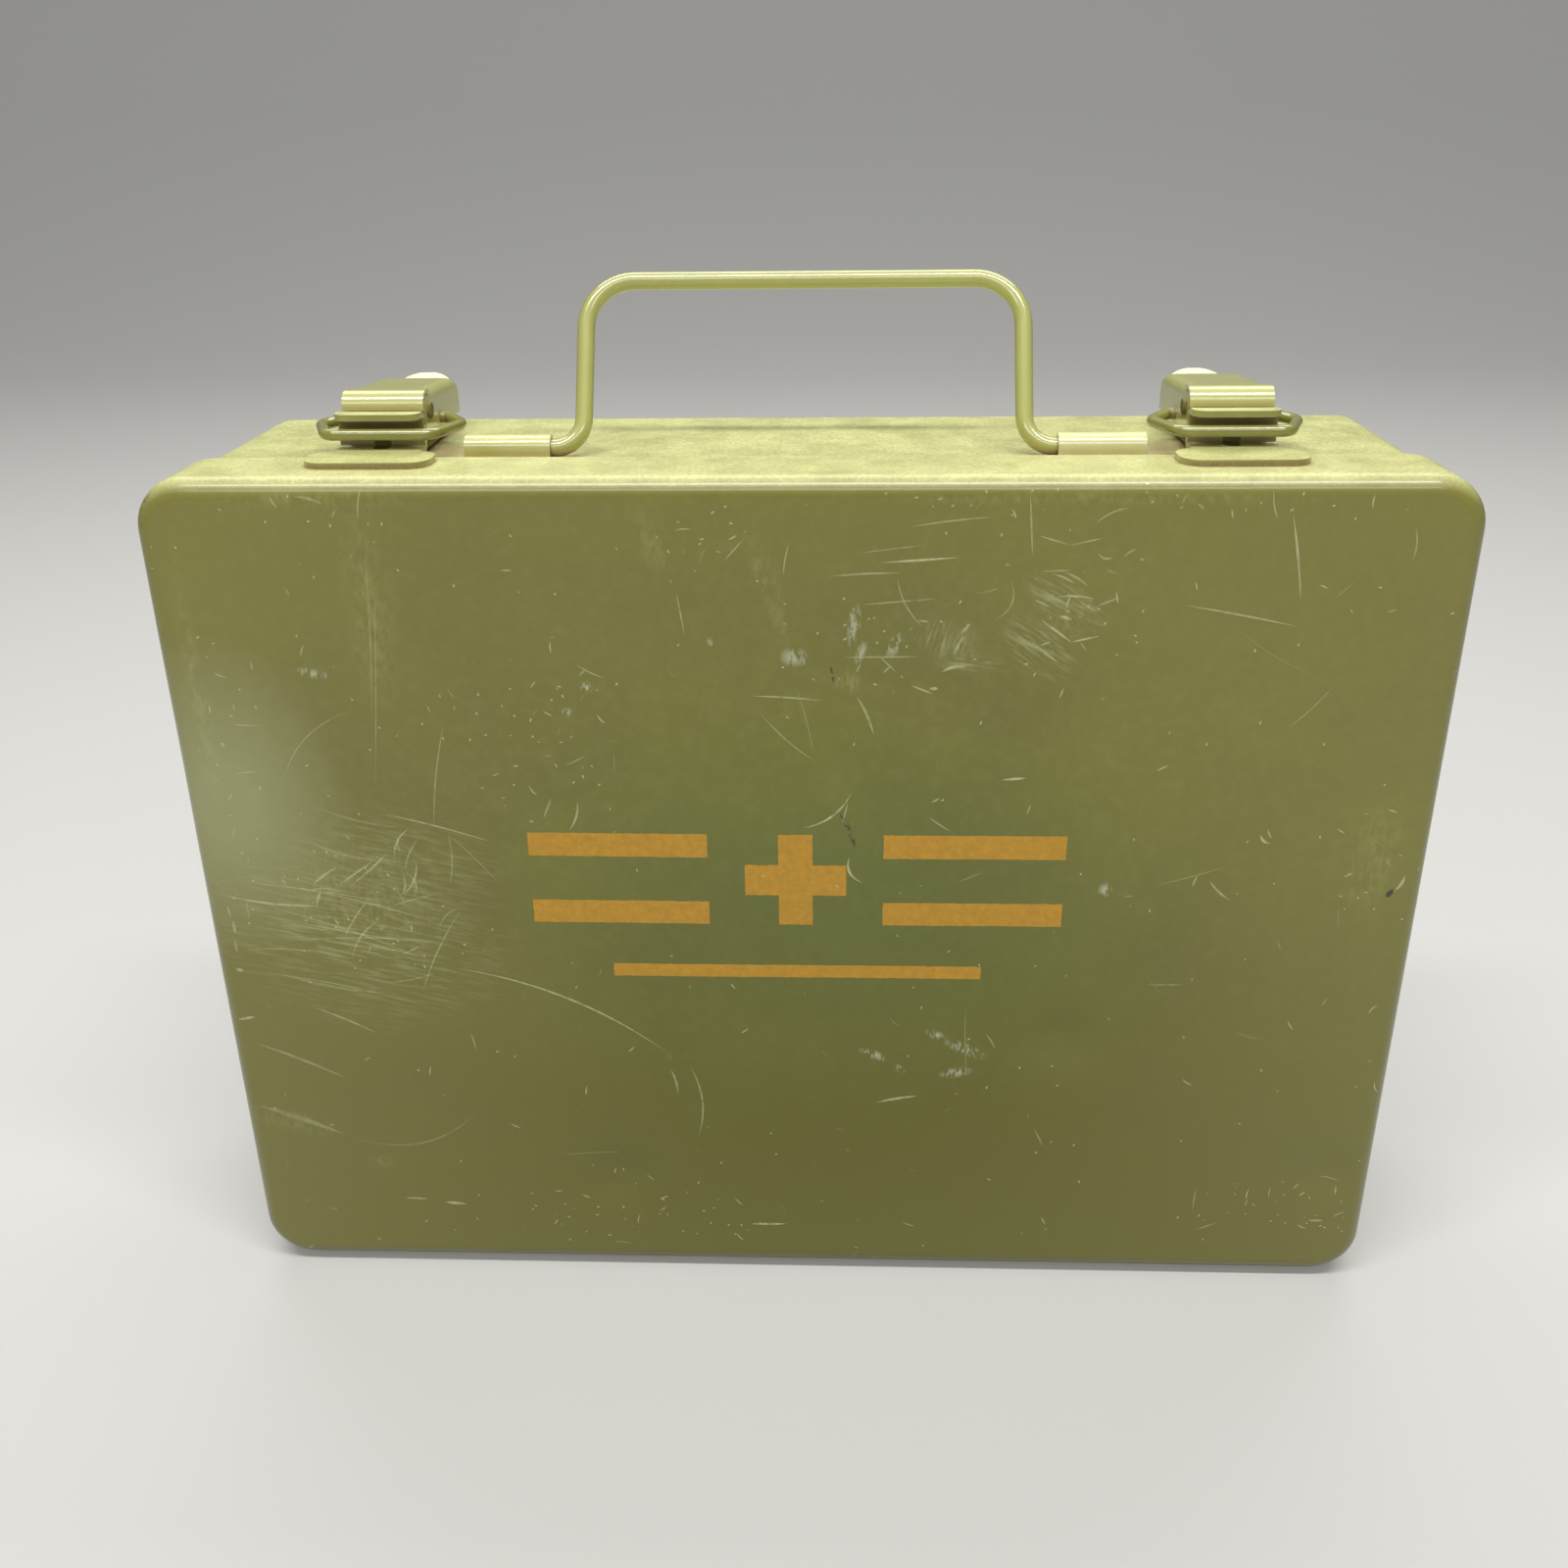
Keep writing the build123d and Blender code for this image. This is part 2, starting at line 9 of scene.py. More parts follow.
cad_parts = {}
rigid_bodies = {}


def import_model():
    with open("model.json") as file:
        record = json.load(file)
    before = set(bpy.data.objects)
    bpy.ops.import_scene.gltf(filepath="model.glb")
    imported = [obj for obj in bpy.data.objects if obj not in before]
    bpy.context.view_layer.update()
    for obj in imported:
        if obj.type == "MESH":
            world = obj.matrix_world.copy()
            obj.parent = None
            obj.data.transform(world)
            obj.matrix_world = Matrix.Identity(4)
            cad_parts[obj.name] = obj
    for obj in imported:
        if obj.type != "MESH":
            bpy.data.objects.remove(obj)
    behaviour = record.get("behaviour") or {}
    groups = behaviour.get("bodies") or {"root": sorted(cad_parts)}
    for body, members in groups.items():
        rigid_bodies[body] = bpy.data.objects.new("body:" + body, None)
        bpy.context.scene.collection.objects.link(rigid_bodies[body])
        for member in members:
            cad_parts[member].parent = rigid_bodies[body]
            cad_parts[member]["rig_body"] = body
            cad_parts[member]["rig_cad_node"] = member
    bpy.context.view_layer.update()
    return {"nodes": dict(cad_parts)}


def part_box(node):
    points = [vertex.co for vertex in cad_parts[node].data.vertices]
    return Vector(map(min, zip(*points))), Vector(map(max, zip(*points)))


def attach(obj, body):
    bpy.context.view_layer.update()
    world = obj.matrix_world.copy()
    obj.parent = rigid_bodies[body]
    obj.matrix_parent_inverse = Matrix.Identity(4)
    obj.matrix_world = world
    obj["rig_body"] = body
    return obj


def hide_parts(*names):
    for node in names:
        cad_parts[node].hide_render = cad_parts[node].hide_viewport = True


bl_info = {
    "name": "Metal First Aid Box",
    "version": (1, 0, 0),
    "blender": (4, 5, 0),
    "location": "3D View > Sidebar > First Aid Box",
    "description": "Finishes a pressed steel first aid box in worn olive enamel and sets up its studio",
    "category": "Object",
}

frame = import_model()
NODES = frame["nodes"]
MM = 0.001

LID_LOW, LID_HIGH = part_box("lid_shell")

# In millimetres: what lies before this Y is the lid's front, and the keepers lie on this Z.
LID_FRONT_END = LID_LOW.y / MM + 2.0
LID_TOP = LID_HIGH.z / MM

# A sheet faces along an axis when that much of its normal points there.
FACES = 0.71


def linear(hex_colour):
    """An sRGB hex colour as the linear RGBA that Blender's sockets take."""
    channels = [int(hex_colour[i:i + 2], 16) / 255 for i in (1, 3, 5)]
    return [c / 12.92 if c <= 0.04045 else ((c + 0.055) / 1.055) ** 2.4 for c in channels] + [1.0]


def colour_property(name, description, hex_colour):
    """A colour that shows in the sidebar as a swatch, kept in linear light."""
    return bpy.props.FloatVectorProperty(
        name=name, description=description, subtype="COLOR", size=4, min=0, max=1,
        default=linear(hex_colour))


def length_property(name, description, millimetres):
    """A length in metres, given here in millimetres."""
    return bpy.props.FloatProperty(
        name=name, description=description, subtype="DISTANCE", unit="LENGTH",
        default=millimetres * MM, precision=5)


class BOX_PG_finish(bpy.types.PropertyGroup):
    """Colours and pattern sizes of the box's surfaces."""
    enamel: colour_property("Enamel", "Olive stoving enamel on the case", "#717113")
    # On the lid this tone is also laid on towards the bottom as painted shade.
    enamel_deep_and_shade: colour_property("Enamel, thick", "The same enamel where it is thicker", "#636110")
    enamel_green: colour_property("Enamel, clean", "The enamel round the marking, kept clean", "#566520")
    # Painted light: this paler enamel lightens the lid's edges where light would fall.
    painted_edge_light: colour_property("Enamel, weathered", "The enamel at the lid's edges, dulled by handling",
                               "#8f8a4a")
    chalk: colour_property("Chalk marks", "Pale rubbed-off paint from other things", "#bfc3a4")
    fitting: colour_property("Fittings", "Enamel on the keepers, and thick spots on the clips and handle",
                             "#a6a657")
    # Painted sheen: a pale patch on the lid's left edge that stands in for a reflection.
    painted_sheen: colour_property("Haze", "Pale bloom on the enamel at the lid's left edge", "#b4b890")
    handle: colour_property("Handle", "Enamel on the wire handle, and thick spots on the levers", "#acad5a")
    # The levers' paler enamel is partly a painted highlight on their rolled noses.
    lever: colour_property("Levers", "Enamel on the latch levers, rubbed pale by fingers", "#b8b76a")
    # The bails' darker enamel is painted shade from the levers above them.
    bail: colour_property("Bails", "Enamel on the latches' wire bails, which stays darker", "#8c8c45")
    # This brown is partly dirt and partly painted shade, under the levers and on the keepers' front edges.
    dirt_and_shade: colour_property("Dirt", "Brown dirt under the levers and on the keepers' edges", "#5f5230")
    clip: colour_property("Clips", "Enamel on the handle's clips, under a skin of tan dust", "#d8d39c")
    dust: colour_property("Dust", "Pale dust on surfaces that face up", "#dcdc98")
    grime: colour_property("Grime", "Tan dust packed into corners", "#c9a878")
    scratch: colour_property("Scratches", "Chalky mark that a scratch leaves in the enamel", "#b9b88a")
    bared: colour_property("Chips", "Stained steel where the enamel has chipped off", "#3b3320")
    marking: colour_property("Marking", "Ochre screen-printed paint of the lid's marking", "#be8d08")
    steel: colour_property("Steel", "Bare steel of the hinge pin", "#8d8b84")
    rubber: colour_property("Gasket", "Black sponge rubber of the lid's gasket", "#1d1d1c")
    peel_grain: length_property("Orange peel", "Spacing of the ripple in the sprayed enamel", 1.1)
    mottle_grain: length_property("Mottle", "Spacing of the slow change of tone", 48.0)


class BOX_PG_marking(bpy.types.PropertyGroup):
    """Sizes of the plain marking that is printed on the lid."""
    centre_x: length_property("Centre X", "Middle of the marking, across the lid", -1.5)
    centre_z: length_property("Centre Z", "Middle of the cross, above the floor", 108.2)
    cross_size: length_property("Cross size", "Width and height of the equal-armed cross", 22.0)
    cross_arm: length_property("Cross arm", "Width of each arm of the cross", 7.4)
    bar_near: length_property("Bar, near end", "Distance from the middle to the near end of a bar", 19.0)
    bar_far: length_property("Bar, far end", "Distance from the middle to the far end of a bar", 58.0)
    bar_height: length_property("Bar height", "Height of each of the paired bars", 5.6)
    rule_half: length_property("Rule, half length", "Half the length of the thin rule below", 41.0)
    rule_drop: length_property("Rule drop", "Distance from the cross's middle down to the rule", 23.0)
    rule_height: length_property("Rule height", "Height of the rule", 3.2)


class BOX_PG_studio(bpy.types.PropertyGroup):
    """Floor, lamps and camera of the studio."""
    floor: colour_property("Floor", "Plain pale floor and backdrop", "#bcbbb7")
    strip_power: bpy.props.FloatProperty(
        name="Strip lamp", description="Power of the long lamp above and a little in front",
        subtype="POWER", unit="POWER", default=15.0, min=0)
    ceiling_power: bpy.props.FloatProperty(
        name="Ceiling lamp", description="Power of the broad soft lamp above and behind", subtype="POWER",
        unit="POWER", default=9.0, min=0)
    front_power: bpy.props.FloatProperty(
        name="Front lamp", description="Power of the wide lamp in front", subtype="POWER",
        unit="POWER", default=3.4, min=0)
    sky: bpy.props.FloatProperty(
        name="Room light", description="Strength of the even light from all round", default=0.24, min=0)
    backdrop: bpy.props.FloatProperty(
        name="Backdrop", description="How bright the paper and the room look to the camera alone",
        default=0.22, min=0)
    lens: bpy.props.FloatProperty(
        name="Lens", description="Focal length on a 36 mm wide sensor", default=34.74, min=1)


def add(tree, kind, inputs=None, **settings):
    """Adds a node of that kind, sets its properties, and sets or links its inputs by name or number."""
    made = tree.nodes.new("ShaderNode" + kind)
    for key, value in settings.items():
        setattr(made, key, value)
    for key, value in (inputs or {}).items():
        if isinstance(value, bpy.types.Node):
            value = value.outputs[0]
        if isinstance(value, bpy.types.NodeSocket):
            tree.links.new(value, made.inputs[key])
        else:
            made.inputs[key].default_value = value
    return made


def new_material(name):
    """An empty node material, its tree and its Principled shader joined to the output."""
    material = bpy.data.materials.new(name)
    material.use_nodes = True
    tree = material.node_tree
    tree.nodes.clear()
    shader = add(tree, "BsdfPrincipled")
    add(tree, "OutputMaterial", {"Surface": shader})
    return material, tree, shader


def pairs(*pieces):
    """The names of the left and right CAD node of each piece."""
    return [f"{piece}_{side}" for side in ("left", "right") for piece in pieces]


def dress(node_names, material):
    """Gives CAD nodes one material in all their slots."""
    for name in node_names:
        for slot in NODES[name].material_slots:
            slot.material = material


def millimetres(tree):
    """Object coordinates counted in millimetres, and the normal in the object's own frame."""
    place = add(tree, "TexCoord")
    scaled = add(tree, "VectorMath", {0: place.outputs["Object"], "Scale": 1 / MM}, operation="SCALE")
    return scaled, place.outputs["Normal"]


# Single scratches on the lid's front: middle X and Z, half length, angle in degrees, bow, width and
# strength. All lengths in the tables are millimetres.
SCRATCHES = (
    (-88.7, 151.3, 23.1, -97, 0.2, 0.25, 0.35), (-88.5, 163.9, 18.5, -95, 0.4, 0.3, 0.3),
    (-102.6, 139.2, 11.7, -136, -2.9, 0.25, 0.5), (-118.0, 102.1, 9.9, -8, -0.6, 0.45, 0.9),
    (-107.1, 103.5, 2.9, 69, 0.0, 0.4, 0.9), (-79.2, 120.2, 12.3, -16, 0.4, 0.3, 0.7),
    (-95.6, 109.6, 6.6, -138, 0.2, 0.35, 0.6), (-86.7, 116.7, 2.8, -110, -1.3, 0.3, 0.7),
    (-86.5, 107.8, 4.8, -115, 1.1, 0.35, 0.7), (-77.3, 132.5, 12.2, 79, 0.6, 0.3, 0.45),
    (-24.2, 168.5, 4.8, -82, 0.0, 0.25, 0.6), (-3.0, 150.3, 7.1, -4, 0.2, 0.35, 0.7),
    (-2.9, 141.9, 8.8, -44, -0.8, 0.25, 0.5), (-54.6, 125.0, 2.6, -113, 0.0, 0.4, 0.6),
    (-49.1, 123.2, 3.6, -108, 0.6, 0.4, 0.7), (23.5, 179.8, 7.8, 4, 0.0, 0.4, 1.0),
    (29.6, 187.5, 8.1, 7, 0.2, 0.3, 0.6), (12.8, 176.8, 7.3, 3, 0.2, 0.35, 0.6),
    (22.0, 171.1, 6.0, -63, -1.1, 0.3, 0.6), (19.6, 171.2, 7.6, 5, 0.0, 0.25, 0.6),
    (13.2, 146.5, 4.7, -67, 0.4, 0.5, 0.6), (51.3, 165.1, 4.0, -37, 0.0, 0.4, 0.9),
    (57.2, 163.4, 2.8, 13, 0.0, 0.35, 0.9), (49.1, 160.7, 4.1, -38, 0.0, 0.5, 0.7),
    (54.7, 172.0, 3.9, -3, 0.4, 0.4, 0.7), (45.1, 186.9, 6.5, -85, 0.0, 0.3, 0.6),
    (97.0, 180.3, 8.7, -78, 0.2, 0.35, 1.0), (87.5, 168.3, 12.1, -11, 0.2, 0.35, 0.7),
    (103.9, 149.1, 6.1, -130, 0.4, 0.25, 0.5), (119.0, 182.8, 3.5, -87, 0.6, 0.3, 0.5),
    (44.6, 132.5, 2.6, 5, 0.0, 0.45, 1.0), (5.4, 125.0, 6.6, 39, -1.7, 0.4, 0.9),
    (11.6, 110.9, 3.5, -66, -1.5, 0.45, 0.9), (90.0, 106.4, 3.4, -44, -0.4, 0.4, 0.7),
    (98.3, 118.8, 1.6, -40, -0.6, 0.5, 0.9), (127.7, 108.8, 2.1, -114, 0.4, 0.6, 0.8),
    (-55.1, 73.9, 26.5, -25, 3.8, 0.35, 0.85), (-30.2, 55.0, 3.6, -78, 0.4, 0.4, 0.7),
    (-25.7, 49.6, 9.9, -86, 1.9, 0.35, 0.6), (-117.3, 59.8, 11.3, -26, 0.4, 0.6, 0.45),
    (-119.8, 43.0, 10.4, -23, 0.4, 1.1, 0.4), (-93.0, 41.7, 16.0, 14, -5.5, 0.35, 0.35),
    (-94.5, 20.0, 2.8, -2, 0.0, 0.5, 0.7), (-85.1, 18.8, 2.6, -5, 0.0, 0.7, 0.9),
    (-8.8, 14.0, 4.4, 1, 0.0, 0.5, 1.0), (21.5, 50.7, 4.9, 12, 0.2, 0.5, 0.9),
    (80.4, 82.6, 4.3, 1, 0.0, 0.3, 0.5), (121.9, 17.6, 1.7, 1, 0.0, 0.6, 0.9),
    (-96.7, 192.0, 2.9, -16, 0.4, 0.5, 0.6), (-97.5, 101.1, 17.6, -16, 0.6, 0.25, 0.6),
    (-102.8, 94.1, 18.1, -22, 0.8, 0.3, 0.5), (-96.5, 91.7, 17.7, -1, 0.8, 0.25, 0.5),
    (-107.0, 104.1, 16.3, -10, 0.4, 0.3, 0.5), (-98.2, 109.0, 5.2, 36, 0.0, 0.35, 0.8),
    (-99.7, 97.3, 6.1, 56, 0.4, 0.3, 0.7), (-81.3, 89.2, 12.2, 63, 0.8, 0.3, 0.5),
    (-105.9, 79.4, 21.4, -13, 1.1, 0.25, 0.4),
    (-110.9, 95.5, 6.7, -14, 0.0, 0.5, 0.35), (-101.2, 94.5, 13.7, -12, -0.6, 0.4, 0.4),
    (-105.1, 91.4, 9.6, -12, 0.0, 0.45, 0.3), (-94.4, 90.6, 10.5, -16, -0.5, 0.5, 0.4),
    (-113.8, 88.4, 12.1, -6, 1.2, 0.4, 0.35), (-107.3, 80.9, 12.1, -13, -0.9, 0.6, 0.3),
    (-105.5, 71.0, 7.9, -27, 0.3, 0.4, 0.6), (-105.1, 108.4, 3.6, 36, 0.2, 0.5, 0.7),
    (-87.0, 116.1, 4.7, 62, 1.3, 0.35, 0.6), (-85.2, 113.8, 4.4, 64, 0.6, 0.35, 0.5),
    (-88.4, 106.1, 2.8, 80, -0.8, 0.35, 0.6), (-86.8, 106.1, 3.4, 97, -1.6, 0.35, 0.55),
    (-77.3, 112.6, 6.5, -94, 0.8, 0.3, 0.45), (-86.0, 102.3, 6.4, 17, 0.2, 0.3, 0.5),
    (-97.9, 92.4, 6.4, 52, 1.3, 0.35, 0.6), (-88.2, 89.4, 2.6, 28, 0.0, 0.35, 0.6),
    (-78.6, 97.9, 3.8, 46, 0.9, 0.3, 0.4), (-89.2, 82.5, 6.2, 13, -0.7, 0.3, 0.45),
    (-93.2, 111.4, 3.4, 46, 0.0, 0.3, 0.55), (-128.3, 71.5, 2.2, 12, 0.0, 0.6, 0.9),
    (-127.8, 84.4, 0.9, -16, 0.0, 0.7, 0.8), (-127.3, 95.5, 1.6, -91, 0.0, 0.6, 0.7),
    (-127.8, 99.6, 1.6, -83, 0.0, 0.4, 0.6), (-127.7, 90.6, 1.8, -89, 0.0, 0.4, 0.5),
    (-95.3, 122.6, 9.6, -14, -1.0, 0.4, 0.3), (-100.4, 114.7, 7.9, -18, -1.1, 0.5, 0.3),
    (49.7, 183.8, 3.2, -17, 0.0, 0.3, 0.6), (56.0, 183.5, 3.3, 13, 0.0, 0.3, 0.7),
    (40.1, 171.5, 4.6, -110, 2.1, 0.3, 0.5), (51.9, 175.9, 2.7, -24, 0.4, 0.35, 0.6),
    (54.5, 175.8, 2.9, -31, 0.4, 0.35, 0.6), (48.2, 170.9, 1.8, -25, 0.0, 0.35, 0.6),
    (57.1, 170.5, 2.4, -32, -0.2, 0.35, 0.6), (31.1, 156.8, 2.5, 13, 0.5, 0.5, 1.0),
    (32.0, 162.0, 2.4, 62, 0.2, 0.5, 0.6), (33.1, 165.5, 1.6, 50, 0.0, 0.5, 0.7),
    (27.2, 152.6, 0.9, 0, 0.0, 0.6, 1.0), (24.9, 152.3, 2.5, -22, 0.0, 0.35, 0.7),
    (53.0, 167.9, 1.4, -16, 0.0, 0.6, 1.0), (16.4, 159.4, 7.9, 1, 0.0, 0.3, 0.6),
    (59.9, 180.8, 1.6, -17, -0.7, 0.4, 0.8), (50.4, 177.6, 2.9, 2, 0.0, 0.3, 0.6),
    (18.3, 182.1, 7.2, 7, 0.0, 0.3, 0.4), (61.1, 171.2, 2.4, 22, 0.0, 0.4, 0.5),
)
# Dark chips and creases where the enamel has broken, as rows of SCRATCHES.
CHIPS = (
    (9.7, 119.8, 5.4, -68, 0.5, 0.7, 0.9), (125.9, 106.2, 1.3, 60, 0.0, 1.0, 1.0),
    (6.4, 155.5, 2.2, -80, 0.0, 0.5, 0.8), (-130.2, 192.4, 1.8, 40, 0.0, 1.6, 0.9),
)
# Places that something rubbed as it slid along the lid's front: middle X and Z, half width, half height,
# angle of the streaks and strength.
RUBBED = (
    (-100.0, 95.0, 34.0, 24.0, -13, 0.34), (-88.0, 112.0, 22.0, 13.0, -15, 0.28),
    (53.0, 171.0, 9.0, 4.0, -30, 0.55), (48.0, 161.5, 9.0, 5.0, -35, 0.55),
    (28.8, 163.5, 4.0, 6.0, 75, 0.5), (35.0, 158.0, 7.0, 2.6, -8, 0.45), (10.2, 153.7, 2.4, 4.0, 80, 0.3),
)
# Ovals on the lid's front where loose scratches lie thicker: middle X and Z, half width, half height and
# angle. The tables of ovals below are alike.
SCUFFED = (
    (53.3, 169.1, 14.5, 11.4, -10), (30.1, 164.0, 7.9, 9.4, 0), (-56.9, 143.4, 22.6, 18.1, 0),
    (-18.7, 182.2, 11.6, 12.1, 0), (12.4, 164.0, 15.8, 12.7, 0), (-95.5, 99.9, 24.1, 19.1, -12),
    (-90.1, 190.2, 25.3, 3.9, 0), (53.8, 190.9, 56.0, 3.1, 0), (119.7, 109.0, 6.2, 21.9, 0),
    (-122.7, 135.3, 5.3, 48.4, 0), (-43.3, 16.1, 47.7, 9.1, 0), (111.5, 22.1, 27.5, 11.8, 0),
)
# Ovals with a film of dust.
DUSTY = (
    (-29.9, 183.6, 2.7, 9.6, 22), (-6.2, 174.2, 2.7, 12.4, 18), (-87.7, 170.1, 5.2, 23.5, 0),
    (-94.7, 192.2, 22.0, 2.2, 0), (60.0, 192.0, 45.0, 1.4, 0), (-121.6, 42.4, 11.8, 3.4, -15),
    (-97.4, 102.3, 19.7, 15.1, -12), (-126.0, 153.1, 2.1, 29.4, 0), (121.1, 113.7, 6.1, 14.3, -8),
    (-102.5, 30.6, 3.8, 2.1, 5), (9.9, 154.7, 2.6, 2.4, 0), (32.0, 162.0, 5.0, 6.0, 20),
    (52.0, 168.0, 9.0, 5.0, -30), (-29.2, 61.8, 2.7, 1.6, 0),
)
# Ovals of chalky paint.
CHALKED = (
    (10.8, 166.0, 1.3, 4.6, -8), (12.2, 160.4, 1.0, 2.8, -20), (19.0, 161.9, 1.4, 2.9, -25),
    (-1.5, 159.3, 2.8, 2.1, 0), (-101.2, 155.7, 3.7, 1.1, -10), (-18.3, 162.9, 0.8, 1.3, 0),
    (16.1, 63.0, 3.6, 1.2, -22), (21.8, 59.3, 1.8, 1.0, -30), (30.0, 68.6, 2.4, 1.2, -25),
    (36.8, 64.9, 5.3, 1.6, -25), (34.8, 58.4, 3.8, 1.4, 10), (65.4, 106.4, 1.5, 1.7, 0),
    (-44.4, 152.6, 1.3, 1.4, 0), (-48.8, 147.2, 1.1, 1.0, 0),
)
# One large oval each: the middle of the lid, which the painted light at its edges leaves alone, the part
# round the marking that was kept clean, and the painted sheen at the left edge.
UNLIT_MIDDLE = ((6.0, 72.0, 150.0, 136.0, 0),)
CLEANED = ((10.0, 104.0, 72.0, 42.0, -8),)
PAINTED_SHEEN_OVALS = ((-124.0, 126.0, 24.0, 34.0, 0),)
# Tan dust piled on the body's top round the latches, clips and handle: ovals with X and Y of their middle.
PILED = (
    (-76.0, -3.0, 5.5, 9.0, 0), (76.0, -3.0, 6.0, 10.5, 0), (-62.0, -14.8, 13.0, 2.2, 0),
    (62.0, -14.8, 13.0, 2.2, 0), (-47.0, -12.0, 6.0, 4.5, -30), (47.5, -12.0, 7.0, 5.5, 30),
    (88.0, 16.0, 13.0, 3.0, 0), (-88.0, 16.0, 12.0, 2.4, 0),
)
# Layers of loose scratches: spacing, half length, width, seed, how many more there are where the sheet is
# scuffed, how many there are everywhere, bend and strength.
LOOSE = (
    (2.6, 0.55, 0.16, 1, 0.30, 0.03, 0.05, 1.0),
    (5.2, 1.7, 0.16, 2, 0.40, 0.03, 0.12, 0.8),
    (12.0, 4.2, 0.15, 3, 0.50, 0.06, 0.05, 0.6),
    (34.0, 13.0, 0.14, 4, 0.0, 0.22, 0.01, 0.3),
)
# Dents in the lid's front: X, Z, radius and depth.
DENTS = (
    (-44.5, 29.0, 12.0, 1.7), (121.3, 33.5, 9.0, 1.2), (57.1, 67.0, 10.0, 1.0),
    (-112.0, 133.0, 34.0, 0.5), (5.0, 150.0, 40.0, 0.5), (-100.0, 95.0, 26.0, 0.4),
)
# The grid that is cut into the lid's front for its dents: distance from the edges, spacing, and the number of
# cuts across and up.
GRID_MARGIN, GRID_STEP, GRID_ACROSS, GRID_UP = 12.0, 4.5, 55, 39

# Soft lamps: name, place, width and height in metres, and the setting that holds the power.
LAMPS = (
    ("Strip_lamp", (0.0, -0.42, 1.30), (1.3, 0.14), "strip_power"),
    ("Ceiling_lamp", (0.0, 0.60, 1.12), (1.5, 0.5), "ceiling_power"),
    ("Front_lamp", (0.0, -0.95, 0.90), (1.3, 0.16), "front_power"),
)
LAMPS_LOOK_AT = (0.0, 0.0, 0.12)
CAMERA_PLACE = (0.0086, -0.3268, 0.2626)


def flat_place(tree, place, normal):
    """Millimetres along the sheet, whichever way it faces: X or Y across and Z or Y up."""
    at = add(tree, "SeparateXYZ", {0: place})
    facing = add(tree, "SeparateXYZ", {0: add(tree, "VectorMath", {0: normal}, operation="ABSOLUTE")})
    end_on = add(tree, "Math", {0: facing.outputs[0], 1: FACES}, operation="GREATER_THAN")
    on_top = add(tree, "Math", {0: facing.outputs[2], 1: FACES}, operation="GREATER_THAN")
    across = add(tree, "Mix", {0: end_on, 2: at.outputs[0], 3: at.outputs[1]})
    up = add(tree, "Mix", {0: on_top, 2: at.outputs[2], 3: at.outputs[1]})
    return add(tree, "CombineXYZ", {0: across.outputs[0], 1: up.outputs[0]})


def loose_scratches(tree, flat, cell, half, width, seed, share, bend):
    """One short bowed scratch near the middle of some of the cells of a random pattern. share is the part
    of the cells that have one, some fainter than others, and may be a socket."""
    moved = add(tree, "VectorMath", {0: flat, 1: (seed * 71.0, seed * 37.0, 0.0)}, operation="ADD")
    cells = add(tree, "TexVoronoi", {"Vector": moved, "Scale": 1 / cell, "Randomness": 0.9},
                feature="F1", voronoi_dimensions="2D")
    away = add(tree, "VectorMath", {0: moved, 1: cells.outputs["Position"]}, operation="SUBTRACT")
    chance = add(tree, "SeparateColor", {0: cells.outputs["Color"]})
    turn = add(tree, "Math", {0: chance.outputs[0], 1: math.pi}, operation="MULTIPLY")
    turned = add(tree, "VectorRotate", {"Vector": away, "Angle": turn}, rotation_type="Z_AXIS")
    along = add(tree, "SeparateXYZ", {0: turned})
    square = add(tree, "Math", {0: along.outputs[0], 1: along.outputs[0]}, operation="MULTIPLY")
    curve = add(tree, "Math", {0: chance.outputs[1], 1: 2 * bend, 2: -bend}, operation="MULTIPLY_ADD")
    bowed = add(tree, "Math", {0: square, 1: curve, 2: along.outputs[1]}, operation="MULTIPLY_ADD")
    shorter = add(tree, "Math", {0: chance.outputs[1], 1: 2.4, 2: 1.0}, operation="MULTIPLY_ADD")
    narrowed = add(tree, "Math", {0: square, 1: shorter}, operation="MULTIPLY")
    edge = add(tree, "Math", {0: narrowed, 1: -width / half ** 2, 2: width}, operation="MULTIPLY_ADD")
    line = add(tree, "Math", {0: bowed, 1: 0.0, 2: edge}, operation="COMPARE")
    rank = add(tree, "Math", {0: chance.outputs[2], 1: share}, operation="DIVIDE")
    there = add(tree, "MapRange", {"Value": rank, 1: 1.0, 2: 0.3})
    return add(tree, "Math", {0: line, 1: there}, operation="MULTIPLY")


def in_turn(tree, place, table, mark):
    """The marks of a table gathered into one total. The total rides in Y from each mark to the next, so
    that they are worked out one after another, because too many at once overfill the renderer."""
    at = add(tree, "SeparateXYZ", {0: place})
    total = 0.0
    for row in table:
        carried = add(tree, "CombineXYZ", {0: at.outputs[0], 1: total, 2: at.outputs[2]})
        total = mark(carried, total, row)
    front = add(tree, "Math", {0: at.outputs[1], 1: LID_FRONT_END}, operation="LESS_THAN")
    return add(tree, "Math", {0: total, 1: front}, operation="MULTIPLY")


def single_scratches(tree, place, table):
    """Each scratch of the table: thin, bowed, and tapered to both ends."""
    def mark(carried, total, row):
        x, z, half, angle, bow, width, strength = row
        here = add(tree, "Mapping", {"Vector": carried, "Location": (x, 0.0, z),
                                     "Rotation": (0.0, math.radians(-angle), 0.0)}, vector_type="TEXTURE")
        at = add(tree, "SeparateXYZ", {0: here})
        square = add(tree, "Math", {0: at.outputs[0], 1: at.outputs[0]}, operation="MULTIPLY")
        bowed = add(tree, "Math", {0: square, 1: bow / half ** 2, 2: at.outputs[2]},
                    operation="MULTIPLY_ADD")
        edge = add(tree, "Math", {0: square, 1: -0.6 * width / half ** 2, 2: 0.6 * width},
                   operation="MULTIPLY_ADD")
        line = add(tree, "Math", {0: bowed, 1: bow, 2: edge}, operation="COMPARE")
        return add(tree, "Math", {0: line, 1: strength, 2: total}, operation="MULTIPLY_ADD")
    return in_turn(tree, place, table, mark)


